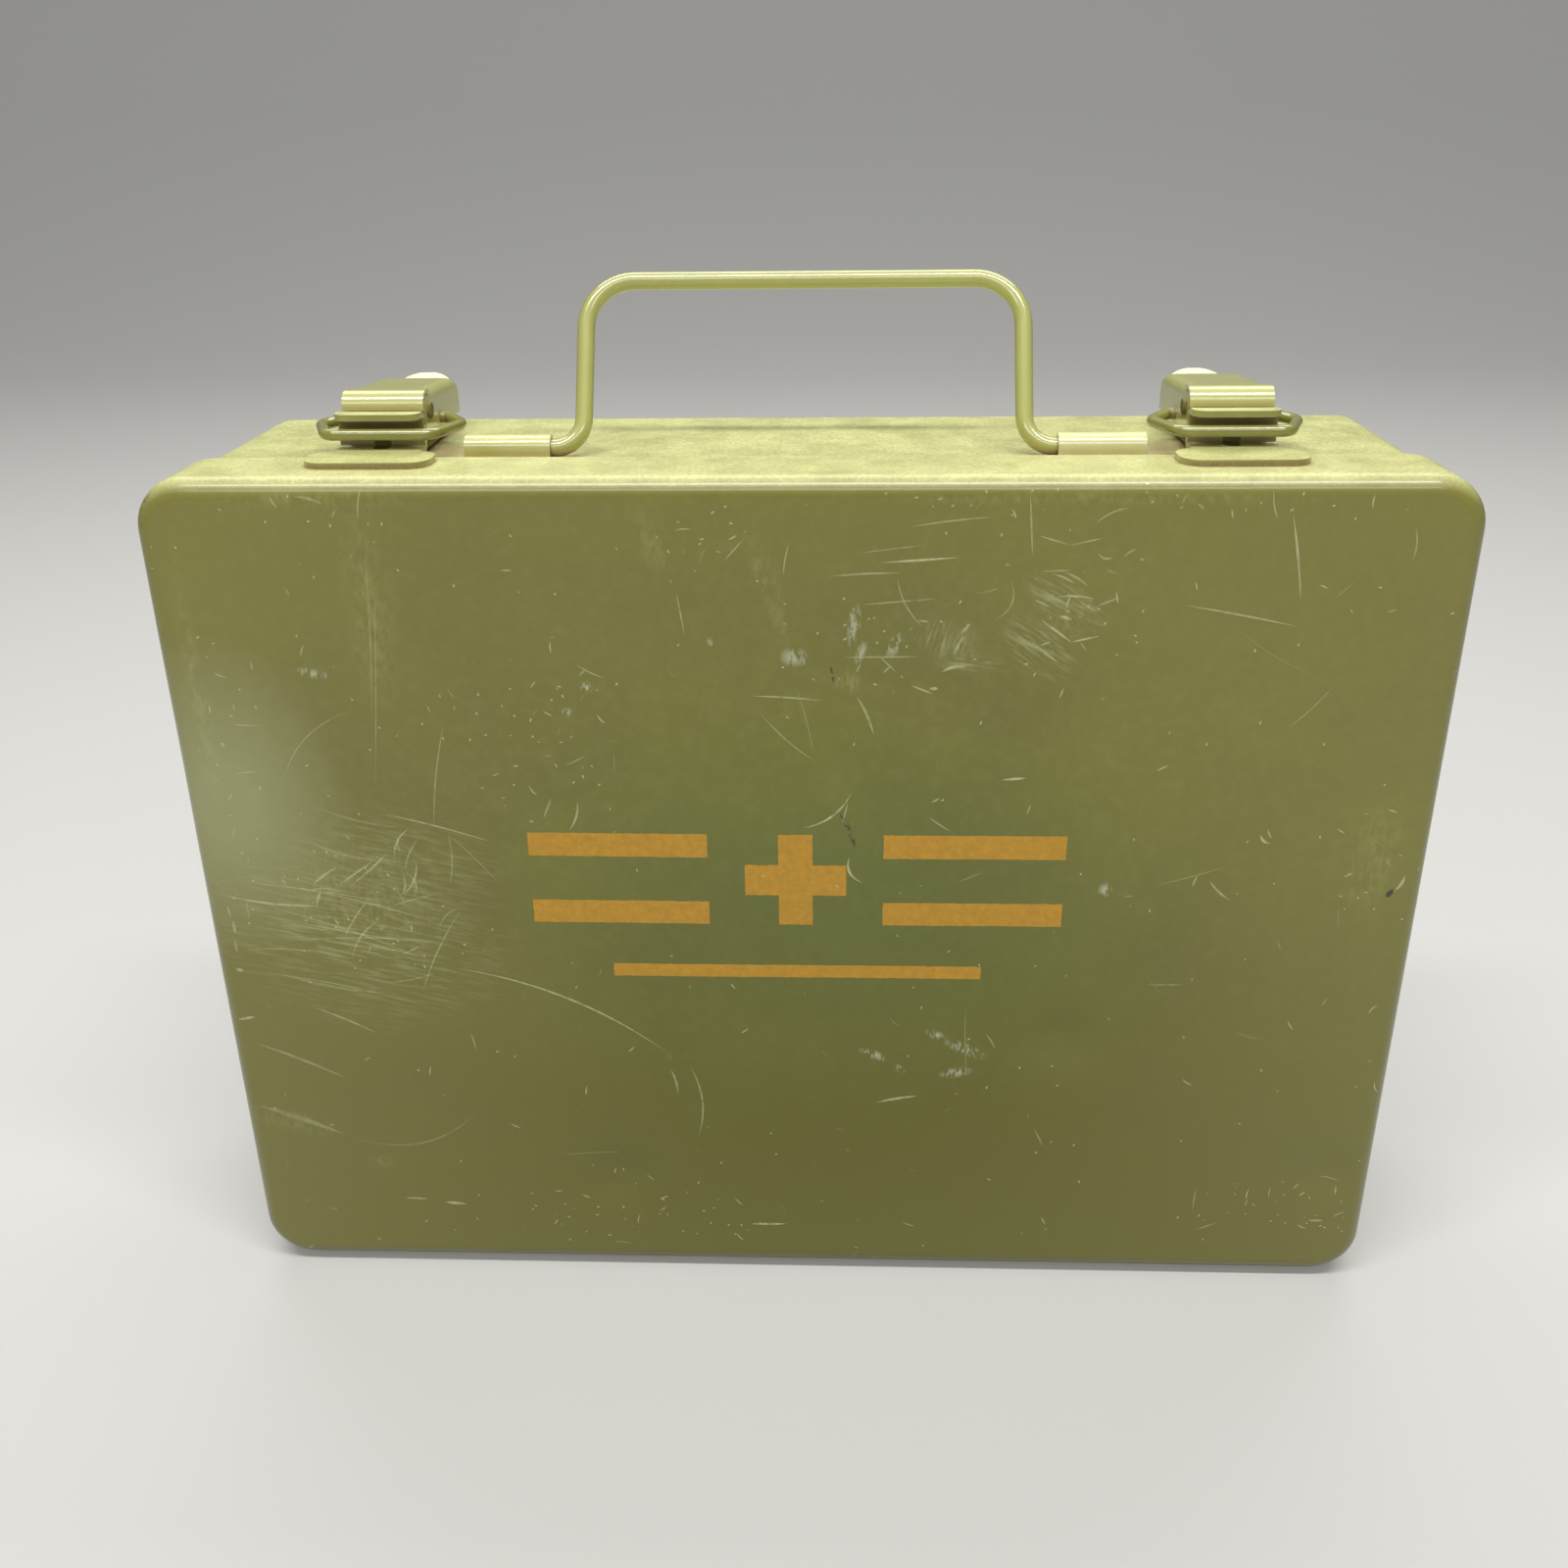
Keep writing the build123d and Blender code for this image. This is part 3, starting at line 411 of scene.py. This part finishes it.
def patches(tree, place, table):
    """Soft ovals of the table, 1 in the middle and 0 from their edge on."""
    def mark(carried, total, row):
        x, z, half_width, half_height, angle = row
        here = add(tree, "Mapping", {"Vector": carried, "Location": (x, 0.0, z),
                                     "Rotation": (0.0, math.radians(-angle), 0.0),
                                     "Scale": (half_width, 1e6, half_height)}, vector_type="TEXTURE")
        far = add(tree, "VectorMath", {0: here}, operation="LENGTH").outputs["Value"]
        oval = add(tree, "MapRange", {"Value": far, 1: 1.15, 2: 0.25})
        return add(tree, "Math", {0: total, 1: oval}, operation="MAXIMUM")
    return in_turn(tree, place, table, mark)


def rubbed(tree, place, table):
    """Ovals of the table filled with fine streaks that all run along the oval."""
    def mark(carried, total, row):
        x, z, half_width, half_height, angle, strength = row
        here = add(tree, "Mapping", {"Vector": carried, "Location": (x, 0.0, z),
                                     "Rotation": (0.0, math.radians(-angle), 0.0)}, vector_type="TEXTURE")
        spread = add(tree, "VectorMath", {0: here, 1: (1 / half_width, 0.0, 1 / half_height)},
                     operation="MULTIPLY")
        far = add(tree, "VectorMath", {0: spread}, operation="LENGTH").outputs["Value"]
        oval = add(tree, "MapRange", {"Value": far, 1: 1.2, 2: 0.3, 3: 0.0, 4: strength})
        streaks = uneven(tree, here, 0.8, 0.48, 0.64, detail=4.0, stretch=(0.09, 0.0, 1.0))
        return add(tree, "Math", {0: total, 1: together(tree, oval, streaks)}, operation="MAXIMUM")
    return in_turn(tree, place, table, mark)


def uneven(tree, place, grain, low, high, start=0.0, end=1.0, detail=3.0, stretch=None):
    """An uneven amount with that grain in millimetres: start where the noise is low and end where high."""
    if stretch:
        place = add(tree, "VectorMath", {0: place, 1: stretch}, operation="MULTIPLY")
    made = add(tree, "TexNoise", {"Vector": place, "Scale": 1 / grain, "Detail": detail, "Roughness": 0.6})
    return add(tree, "MapRange", {"Value": made, 1: low, 2: high, 3: start, 4: end})


def together(tree, amount, *others):
    """How much is left where several amounts between 0 and 1 all apply."""
    for other in others:
        amount = add(tree, "Math", {0: amount, 1: other}, operation="MULTIPLY")
    return amount


def lay(tree, colour, *coats):
    """Lays coats over a colour one after another. Each is its own colour and how much of it covers."""
    for over, amount in coats:
        colour = add(tree, "Mix", {0: amount, 6: colour, 7: over}, data_type="RGBA").outputs[2]
    return colour


def lid_colour(tree, place, colour, s):
    """The lid's slow changes of tone, painted shade towards its bottom, painted light at its edges, a
    painted sheen at its left edge, its marking, and what has rubbed off on its front.
    """
    edge_lightening, greener, bloom_and_sheen_share, filmed, chalked = 0.55, 0.42, 0.42, 0.12, 0.7
    height = add(tree, "SeparateXYZ", {0: place}).outputs[2]
    # Painted shade: the lid darkens towards its bottom.
    painted_shade_below = add(tree, "MapRange", {"Value": height, 1: 125.0, 2: 25.0, 3: 0.0, 4: 1.0})
    # Painted light: the lid turns paler towards its edges, outside one large oval.
    unlit_middle = together(tree, patches(tree, place, UNLIT_MIDDLE), edge_lightening)
    outer = add(tree, "Math", {0: edge_lightening, 1: unlit_middle}, operation="SUBTRACT")
    cleaned = together(tree, patches(tree, place, CLEANED), greener)
    colour = lay(tree, colour, (s.enamel_deep_and_shade, painted_shade_below), (s.painted_edge_light, outer), (s.enamel_green, cleaned))
    colour = printed_marking(tree, place, colour, s)
    # Painted sheen: a pale patch at the lid's left edge stands in for a reflection.
    bloom_and_sheen = together(tree, patches(tree, place, PAINTED_SHEEN_OVALS), bloom_and_sheen_share)
    smears = uneven(tree, place, 1.3, 0.42, 0.66, detail=4.0, stretch=(1.0, 1.0, 0.45))
    film = together(tree, patches(tree, place, DUSTY), smears, filmed)
    hatched = uneven(tree, place, 0.7, 0.45, 0.55, detail=2.0, stretch=(1.0, 1.0, 0.3))
    chalk = together(tree, patches(tree, place, CHALKED), hatched, chalked)
    return lay(tree, colour, (s.painted_sheen, bloom_and_sheen), (s.dust, film), (s.chalk, chalk),
               (s.scratch, rubbed(tree, place, RUBBED)))


def pale_scratches(tree, place, normal, lid, strongest):
    """All pale scratches in one amount: the lid's single ones, and loose ones on every side."""
    pale = None
    if lid:
        broken = uneven(tree, place, 1.6, 0.3, 0.55, 0.25, 1.0, detail=4.0)
        pale = together(tree, single_scratches(tree, place, SCRATCHES), broken)
    flat = flat_place(tree, place, normal)
    scuffed = patches(tree, place, SCUFFED) if lid else uneven(tree, place, 30.0, 0.5, 0.75)
    for cell, half, width, seed, more, everywhere, bend, strength in LOOSE:
        share = everywhere
        if more:
            share = add(tree, "Math", {0: scuffed, 1: more, 2: everywhere}, operation="MULTIPLY_ADD")
        layer = loose_scratches(tree, flat, cell, half, width, seed, share, bend)
        layer = together(tree, layer, strength * strongest)
        pale = layer if pale is None else add(tree, "Math", {0: pale, 1: layer}, operation="MAXIMUM")
    return pale


def enamel(name, thin, deep, dusty, lid=False, scratched=0.0, edge_dirt_and_shade=0.0, dull=False):
    """Stoving enamel on sheet steel, sprayed and baked: semi-gloss with a fine orange peel, and with the
    dust, grime and scratches of a long time on a shelf, and painted shade in its deepest gaps. thin and
    deep are its two tones, and dusty, scratched and edge_dirt_and_shade say how much of each there is."""
    s = bpy.context.scene.box_finish
    material, tree, shader = new_material(name)
    place, normal = millimetres(tree)
    facing = add(tree, "SeparateXYZ", {0: normal})
    colour = lay(tree, thin, (deep, uneven(tree, place, s.mottle_grain / MM, 0.3, 0.7)),
                 (s.dust, uneven(tree, place, 2.6, 0.45, 0.85, 0.0, 0.07, detail=4.0)))
    if lid:
        colour = lid_colour(tree, place, colour, s)
    if scratched:
        colour = lay(tree, colour, (s.scratch, pale_scratches(tree, place, normal, lid, scratched)))
    if lid:
        broken = uneven(tree, place, 1.1, 0.42, 0.5, detail=2.0)
        colour = lay(tree, colour, (s.bared, together(
            tree, single_scratches(tree, place, CHIPS), broken)))

    # Dust lies on what faces up: a film with a fine grain, thinner in patches.
    level = add(tree, "MapRange", {"Value": facing.outputs[2], 1: 0.35, 2: 0.95, 3: 0.0, 4: dusty})
    film = together(tree, uneven(tree, place, 9.0, 0.34, 0.6, 0.70, 1.0, detail=4.0),
                    uneven(tree, place, 0.8, 0.36, 0.64, 0.68, 1.0, detail=3.0))
    lying = together(tree, level, film)
    colour = lay(tree, colour, (s.dust, lying))

    # The body's top is also where tan dust piles up, full of short fibres.
    if scratched and not lid:
        thickest = 0.85
        at = add(tree, "SeparateXYZ", {0: place})
        flat_on = add(tree, "CombineXYZ", {0: at.outputs[0], 1: LID_LOW.y / MM, 2: at.outputs[1]})
        fibres = uneven(tree, place, 1.0, 0.36, 0.56, detail=4.0, stretch=(1.0, 0.6, 1.0))
        above = add(tree, "MapRange", {"Value": facing.outputs[2], 1: 0.8, 2: 0.95})
        colour = lay(tree, colour, (s.grime, together(
            tree, patches(tree, flat_on, PILED), fibres, above, thickest)))

    # Brown dirt and painted shade on the front edge of a keeper's plate, which faces forward.
    if edge_dirt_and_shade:
        forward = add(tree, "MapRange", {"Value": facing.outputs[1], 1: -0.5, 2: -0.9})
        height = add(tree, "SeparateXYZ", {0: place}).outputs[2]
        low = add(tree, "MapRange", {"Value": height, 1: LID_TOP + 1.25, 2: LID_TOP + 0.6})
        colour = lay(tree, colour, (s.dirt_and_shade, together(
            tree, forward, low, uneven(tree, place, 0.7, 0.3, 0.55, 0.7, 1.0), edge_dirt_and_shade)))

    # Tan grime is packed into the corners where two parts meet. The deepest gaps get painted shade.
    corner = add(tree, "AmbientOcclusion", {"Distance": 3.0 * MM}, samples=3)
    closed = add(tree, "MapRange", {"Value": corner.outputs["AO"], 1: 0.74, 2: 0.34, 3: 0.0, 4: 0.9})
    packed = together(tree, closed, uneven(tree, place, 0.8, 0.35, 0.6, 0.55, 1.0, detail=2.0))
    painted_shade = add(tree, "MapRange", {"Value": corner.outputs["AO"], 1: 0.46, 2: 0.12, 3: 1.0, 4: 0.14})
    colour = lay(tree, colour, (s.grime, packed))
    colour = add(tree, "VectorMath", {0: colour, "Scale": painted_shade}, operation="SCALE")
    tree.links.new(colour.outputs[0], shader.inputs["Base Color"])

    peel = add(tree, "TexNoise", {"Vector": place, "Scale": MM / s.peel_grain, "Detail": 2.0})
    bump = add(tree, "Bump", {"Height": peel, "Strength": 0.25, "Distance": 0.03 * MM})
    tree.links.new(bump.outputs[0], shader.inputs["Normal"])
    shader.inputs["IOR"].default_value = 1.5
    if dull:
        shader.inputs["Roughness"].default_value = 0.8
        return material

    # Dust and grime take the gloss away. The large sheets were never as glossy as the small fittings.
    matt = add(tree, "Math", {0: lying, 1: closed}, operation="MAXIMUM")
    clear = 0.5 if scratched else 1.0
    gloss = add(tree, "MapRange", {"Value": matt, 1: 0.0, 2: 0.8, 3: 0.30, 4: 0.50})
    cover = add(tree, "MapRange", {"Value": matt, 1: 0.0, 2: 0.8, 3: clear, 4: 0.15 * clear})
    tree.links.new(gloss.outputs[0], shader.inputs["Roughness"])
    tree.links.new(cover.outputs[0], shader.inputs["Coat Weight"])
    shader.inputs["Coat Roughness"].default_value = 0.15
    shader.inputs["Coat IOR"].default_value = 1.5 if scratched else 1.7
    return material


def printed_marking(tree, place, under, s):
    """Screen-printed ochre paint: a plain cross between paired bars, with a rule below. Its edges are a
    little ragged, its tone is grainy and specks of it have come off."""
    m = bpy.context.scene.box_marking
    # The shape is shaken by this many millimetres, by about half of it on average, which is taken back.
    ragged_by, moved_by = 0.35, 0.17
    ragged = add(tree, "TexNoise", {"Vector": place, "Scale": 1 / 0.9, "Detail": 2.0})
    shaken = add(tree, "VectorMath", {0: ragged.outputs["Color"], 1: (ragged_by, 0.0, ragged_by), 2: place},
                 operation="MULTIPLY_ADD")
    at = add(tree, "SeparateXYZ", {0: shaken})
    x = add(tree, "Math", {0: at.outputs[0], 1: m.centre_x / MM + moved_by}, operation="SUBTRACT")
    z = add(tree, "Math", {0: at.outputs[2], 1: m.centre_z / MM + moved_by}, operation="SUBTRACT")
    side = add(tree, "Math", {0: x}, operation="ABSOLUTE")

    def inside(middle_x, half_x, middle_z, half_z):
        """1 inside a box whose X is counted from the middle outwards, 0 outside it."""
        dx = add(tree, "Math", {0: side, 1: middle_x, 2: half_x}, operation="COMPARE")
        dz = add(tree, "Math", {0: z, 1: middle_z, 2: half_z}, operation="COMPARE")
        return together(tree, dx, dz)

    half, arm = m.cross_size / MM / 2, m.cross_arm / MM / 2
    near, far = m.bar_near / MM, m.bar_far / MM
    thick = m.bar_height / MM / 2
    shapes = [inside(0.0, half, 0.0, arm), inside(0.0, arm, 0.0, half),
              inside((near + far) / 2, (far - near) / 2, half - thick, thick),
              inside((near + far) / 2, (far - near) / 2, thick - half, thick),
              inside(0.0, m.rule_half / MM, -m.rule_drop / MM, m.rule_height / MM / 2)]
    whole = shapes[0]
    for shape in shapes[1:]:
        whole = add(tree, "Math", {0: whole, 1: shape}, operation="MAXIMUM")
    depth = add(tree, "SeparateXYZ", {0: place}).outputs[1]
    front = add(tree, "Math", {0: depth, 1: LID_FRONT_END}, operation="LESS_THAN")

    grain = add(tree, "TexNoise", {"Vector": place, "Scale": 1 / 1.3, "Detail": 3.0, "Roughness": 0.7})
    tones = add(tree, "MapRange", {"Value": grain, 1: 0.3, 2: 0.7, 3: 0.84, 4: 1.10})
    ink = add(tree, "VectorMath", {0: s.marking[:3], "Scale": tones}, operation="SCALE")
    specks = add(tree, "TexNoise", {"Vector": place, "Scale": 1 / 2.4, "Detail": 3.0, "Roughness": 0.75})
    held = add(tree, "MapRange", {"Value": specks, 1: 0.70, 2: 0.74, 3: 1.0, 4: 0.0})
    return lay(tree, under, (ink, together(tree, whole, front, held)))


def deselect_all():
    """Leaves edit mode with nothing selected."""
    if bpy.context.mode != "OBJECT":
        bpy.ops.object.mode_set(mode="OBJECT")
    bpy.ops.object.select_all(action="DESELECT")


def working_copy(node, name):
    """A copy of a CAD node as one merged mesh, active and selected, for edit mode."""
    deselect_all()
    source = NODES[node]
    piece = source.copy()
    piece.data = source.data.copy()
    piece.name = name
    piece.parent = None
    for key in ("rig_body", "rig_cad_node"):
        if key in piece:
            del piece[key]
    bpy.context.scene.collection.objects.link(piece)
    piece.select_set(True)
    bpy.context.view_layer.objects.active = piece
    bpy.ops.mesh.customdata_custom_splitnormals_clear()
    bpy.ops.object.mode_set(mode="EDIT")
    bpy.ops.mesh.select_all(action="SELECT")
    bpy.ops.mesh.remove_doubles(threshold=0.002 * MM)
    bpy.ops.mesh.dissolve_limited(angle_limit=math.radians(0.5))
    bpy.ops.object.mode_set(mode="OBJECT")
    return piece


def cut_across(axis, places):
    """Cuts the whole mesh in edit mode by planes square to that axis."""
    for place in places:
        point, way = [0.0, 0.0, 0.0], [0.0, 0.0, 0.0]
        point[axis], way[axis] = place, 1.0
        bpy.ops.mesh.select_all(action="SELECT")
        bpy.ops.mesh.bisect(plane_co=point, plane_no=way)


def dent(piece, place, radius, depth):
    """Presses the lid's front in around one place. Both skins of the sheet move together."""
    bpy.ops.mesh.select_all(action="DESELECT")
    bpy.ops.object.mode_set(mode="OBJECT")
    at = Vector(place)
    nearest = min(piece.data.vertices, key=lambda v: (v.co - at).length)
    nearest.select = True
    bpy.ops.object.mode_set(mode="EDIT")
    bpy.ops.transform.translate(value=(0.0, depth, 0.0), use_proportional_edit=True,
                                proportional_size=radius, proportional_edit_falloff="SMOOTH",
                                use_proportional_connected=False)


def buckle(piece, group, strength):
    """Gives flat sheet the slight waves that pressing and handling leave in it."""
    clouds = bpy.data.textures.new(piece.name + "_waves", "CLOUDS")
    clouds.noise_scale = 75 * MM
    clouds.noise_depth = 0
    waves = piece.modifiers.new("Waves", "DISPLACE")
    waves.texture = clouds
    waves.texture_coords = "LOCAL"
    waves.direction = "Y"
    waves.mid_level = 0.0
    waves.strength = strength
    waves.vertex_group = group
    bpy.ops.object.modifier_apply(modifier="Waves")


def smooth(piece):
    """Smooth shading across all but sharp bends, which keeps the flat sheet flat."""
    deselect_all()
    piece.select_set(True)
    bpy.context.view_layer.objects.active = piece
    bpy.ops.object.shade_smooth_by_angle(angle=math.radians(40))
    piece.modifiers.new("Flatter", "WEIGHTED_NORMAL").keep_sharp = True
    bpy.ops.object.modifier_apply(modifier="Flatter")


class BOX_OT_case(bpy.types.Operator):
    """Makes the lid with its dents and the body, in olive enamel, with the marking on the lid"""
    bl_idname = "firstaid.case"
    bl_label = "Make the case"

    def execute(self, context):
        s = context.scene.box_finish
        front = LID_LOW.y
        lid = working_copy("lid_shell", "Lid_pan")
        bpy.ops.object.mode_set(mode="EDIT")
        margin, step = GRID_MARGIN * MM, GRID_STEP * MM
        cut_across(0, [LID_LOW.x + margin + step * i for i in range(GRID_ACROSS)])
        cut_across(2, [LID_LOW.z + margin + step * i for i in range(GRID_UP)])
        for x, z, radius, depth in DENTS:
            dent(lid, (x * MM, front, z * MM), radius * MM, depth * MM)
        bpy.ops.object.mode_set(mode="OBJECT")

        # In millimetres: the rim of the lid that stays flat, the width over which the waves then grow to
        # their full height, and how far behind the lid's front they reach.
        calm, grows, sheet = 6.0, 30.0, 2.5
        panel = lid.vertex_groups.new(name="Panel")
        for vertex in lid.data.vertices:
            side = min(vertex.co.x - LID_LOW.x, LID_HIGH.x - vertex.co.x,
                       vertex.co.z - LID_LOW.z, LID_HIGH.z - vertex.co.z) / MM
            if vertex.co.y < front + sheet * MM:
                panel.add([vertex.index], max(0.0, min(1.0, (side - calm) / grows)), "REPLACE")
        buckle(lid, "Panel", 0.9 * MM)
        smooth(lid)
        lid.data.materials.clear()
        lid.data.materials.append(enamel("Stoved olive enamel, lid", s.enamel, s.enamel_deep_and_shade, 0.8,
                                         lid=True, scratched=1.0))
        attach(lid, "lid")
        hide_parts("lid_shell")

        dress(["body_shell"],
              enamel("Stoved olive enamel, body", s.enamel, s.enamel_deep_and_shade, 0.8, scratched=0.8))
        return {"FINISHED"}


class BOX_OT_fittings_finish(bpy.types.Operator):
    """Gives the latches, keepers, clips, handle and hinge leaves their enamel"""
    bl_idname = "firstaid.fittings_finish"
    bl_label = "Finish the fittings"

    def execute(self, context):
        s = context.scene.box_finish
        dress(pairs("keeper"),
              enamel("Stoved olive enamel, keepers", s.fitting, s.enamel, 0.8, edge_dirt_and_shade=0.85))
        # Painted shade: the latch bases, their rivets and the lever pins take the dark brown, for the shade
        # under the levers.
        dress(pairs("latch_base", "latch_rivets", "lever_pin"),
              enamel("Stoved olive enamel, latch bases under dirt", s.dirt_and_shade, s.enamel, 0.3, dull=True))
        # The levers' paler enamel is partly a painted highlight.
        dress(pairs("latch_lever"), enamel("Stoved olive enamel, latch levers", s.lever, s.handle, 0.2))
        # Painted shade: the bails' enamel is darker.
        dress(pairs("latch_bail"), enamel("Stoved olive enamel, wire bails", s.bail, s.enamel, 0.1))
        dress(pairs("handle_clip"), enamel("Stoved olive enamel, dusty clips", s.clip, s.fitting, 0.8))
        dress(["handle"], enamel("Stoved olive enamel, wire handle", s.handle, s.fitting, 0.1))
        dress(["body_hinge_leaf", "lid_hinge_leaf"],
              enamel("Stoved olive enamel, rolled hinge", s.enamel, s.enamel_deep_and_shade, 0.1))
        return {"FINISHED"}


class BOX_OT_steel_and_rubber(bpy.types.Operator):
    """Gives the hinge pin its bare steel and the gasket its rubber"""
    bl_idname = "firstaid.steel_and_rubber"
    bl_label = "Finish pins and gasket"

    def execute(self, context):
        s = context.scene.box_finish
        # Drawn steel wire: grey, with fine lines along it and a little brown staining.
        material, tree, shader = new_material("Drawn steel wire, hinge pin")
        place, _ = millimetres(tree)
        lines = add(tree, "Mapping", {"Vector": place, "Scale": (0.05, 6.0, 6.0)})
        drawn = add(tree, "TexNoise", {"Vector": lines, "Scale": 1.0, "Detail": 3.0})
        stain = add(tree, "TexNoise", {"Vector": place, "Scale": 1 / 4, "Detail": 4.0})
        stained = add(tree, "MapRange", {"Value": stain, 1: 0.5, 2: 0.8, 3: 0.0, 4: 0.6})
        gloss = add(tree, "MapRange", {"Value": drawn, 1: 0.3, 2: 0.7, 3: 0.28, 4: 0.46})
        tree.links.new(lay(tree, s.steel, (s.grime, stained)), shader.inputs["Base Color"])
        tree.links.new(gloss.outputs[0], shader.inputs["Roughness"])
        shader.inputs["Metallic"].default_value = 1.0
        dress(["hinge_pin"], material)

        # Moulded sponge rubber: matt black, with a fine open skin and a grey bloom.
        material, tree, shader = new_material("Moulded sponge rubber, gasket")
        place, _ = millimetres(tree)
        pores = add(tree, "TexVoronoi", {"Vector": place, "Scale": 1 / 0.6})
        bloom_and_sheen = add(tree, "TexNoise", {"Vector": place, "Scale": 1 / 14, "Detail": 5.0})
        bloom_and_sheen_share = add(tree, "MapRange", {"Value": bloom_and_sheen, 1: 0.4, 2: 0.8, 3: 0.0, 4: 0.25})
        bump = add(tree, "Bump", {"Height": pores, "Strength": 0.5, "Distance": 0.08 * MM})
        tree.links.new(lay(tree, s.rubber, (s.dust, bloom_and_sheen_share)), shader.inputs["Base Color"])
        tree.links.new(bump.outputs[0], shader.inputs["Normal"])
        shader.inputs["Roughness"].default_value = 0.85
        dress(["lid_gasket"], material)
        return {"FINISHED"}


class BOX_OT_studio(bpy.types.Operator):
    """Makes the pale floor, the soft lamps and the camera"""
    bl_idname = "firstaid.studio"
    bl_label = "Set up the studio"

    def execute(self, context):
        s = context.scene.box_studio
        scene = context.scene
        scene.view_settings.view_transform = "Standard"

        # The floor runs back and curves up into the backdrop. Its sizes are in metres.
        width, depth, height, curve = 9.0, 5.0, 3.5, 1.2
        bpy.ops.object.select_all(action="DESELECT")
        bpy.ops.mesh.primitive_plane_add(size=1.0, location=(0, 0, 0))
        floor = context.active_object
        floor.name = "Studio_floor"
        floor.scale = (width, depth, 1.0)
        bpy.ops.object.transform_apply(location=True, rotation=True, scale=True)
        bpy.ops.object.mode_set(mode="EDIT")
        bpy.ops.mesh.select_all(action="DESELECT")
        bpy.ops.object.mode_set(mode="OBJECT")
        for vertex in floor.data.vertices:
            vertex.select = vertex.co.y > 0
        for edge in floor.data.edges:
            edge.select = all(floor.data.vertices[v].co.y > 0 for v in edge.vertices)
        bpy.ops.object.mode_set(mode="EDIT")
        bpy.ops.mesh.extrude_region_move(TRANSFORM_OT_translate={"value": (0, 0, height)})
        bpy.ops.object.mode_set(mode="OBJECT")
        cove = floor.modifiers.new("Cove", "BEVEL")
        cove.width, cove.segments, cove.limit_method = curve, 12, "ANGLE"
        bpy.ops.object.modifier_apply(modifier="Cove")
        bpy.ops.object.shade_smooth()

        # Studio paper: matt, and a little brighter to the camera than its light makes it.
        material, tree, shader = new_material("Studio paper")
        shader.inputs["Base Color"].default_value = s.floor
        shader.inputs["Roughness"].default_value = 0.85
        seen = add(tree, "LightPath").outputs["Is Camera Ray"]
        shader.inputs["Emission Color"].default_value = s.floor
        tree.links.new(together(tree, seen, s.backdrop).outputs[0], shader.inputs["Emission Strength"])
        floor.data.materials.append(material)

        for name, place, size, power in LAMPS:
            self.lamp(name, place, size, getattr(s, power))

        # A pale room. The camera sees it as a plain grey, whatever its light.
        grey = 0.5
        world = bpy.data.worlds.new("Room")
        scene.world = world
        world.use_nodes = True
        tree = world.node_tree
        tree.nodes.clear()
        seen = add(tree, "LightPath").outputs["Is Camera Ray"]
        level = add(tree, "Mix", {0: seen, 2: s.sky, 3: grey})
        room = add(tree, "Background", {"Color": (1, 1, 1, 1), "Strength": level})
        add(tree, "OutputWorld", {"Surface": room})

        self.camera(scene, s)
        return {"FINISHED"}

    def lamp(self, name, place, size, power):
        """A flat soft lamp, so wide and so high, that looks at the box."""
        data = bpy.data.lights.new(name, "AREA")
        data.shape, data.energy = "RECTANGLE", power
        data.size, data.size_y = size
        lamp = bpy.data.objects.new(name, data)
        lamp.visible_camera = False
        lamp.location = place
        way = Vector(LAMPS_LOOK_AT) - Vector(place)
        lamp.rotation_euler = way.to_track_quat("-Z", "Y").to_euler()
        bpy.context.scene.collection.objects.link(lamp)

    def camera(self, scene, s):
        """The camera at the photograph's angle: down, turned a little, and hardly rolled."""
        down, turn, roll = (math.radians(a) for a in (24.29, -2.43, -0.73))
        tilt = Matrix.Rotation(math.pi / 2 - down, 3, "X")
        data = bpy.data.cameras.new("Camera")
        data.sensor_width, data.lens = 36.0, s.lens
        data.clip_start, data.clip_end = 0.01, 50.0
        camera = bpy.data.objects.new("Camera", data)
        place = Matrix.Rotation(-turn, 3, "Z") @ tilt @ Matrix.Rotation(roll, 3, "Z")
        camera.matrix_world = Matrix.Translation(CAMERA_PLACE) @ place.to_4x4()
        scene.collection.objects.link(camera)
        scene.camera = camera


class BOX_PT_sidebar(bpy.types.Panel):
    """Lists the box's operators and settings"""
    bl_idname = "BOX_PT_sidebar"
    bl_label = "First Aid Box"
    bl_space_type = "VIEW_3D"
    bl_region_type = "UI"
    bl_category = "First Aid Box"

    def draw(self, context):
        for operator in STEPS:
            self.layout.operator(operator.bl_idname)
        for group in (context.scene.box_finish, context.scene.box_marking, context.scene.box_studio):
            box = self.layout.box()
            for key in group.__annotations__:
                box.prop(group, key)


STEPS = (BOX_OT_case, BOX_OT_fittings_finish, BOX_OT_steel_and_rubber, BOX_OT_studio)
GROUPS = {"box_finish": BOX_PG_finish, "box_marking": BOX_PG_marking, "box_studio": BOX_PG_studio}
CLASSES = (*GROUPS.values(), *STEPS, BOX_PT_sidebar)


def register():
    for cls in CLASSES:
        bpy.utils.register_class(cls)
    for key, group in GROUPS.items():
        setattr(bpy.types.Scene, key, bpy.props.PointerProperty(type=group))


def unregister():
    for key in GROUPS:
        delattr(bpy.types.Scene, key)
    for cls in reversed(CLASSES):
        bpy.utils.unregister_class(cls)


def main():
    register()
    for step in STEPS:
        group, name = step.bl_idname.split(".")
        getattr(getattr(bpy.ops, group), name)()


if __name__ == "__main__":
    main()
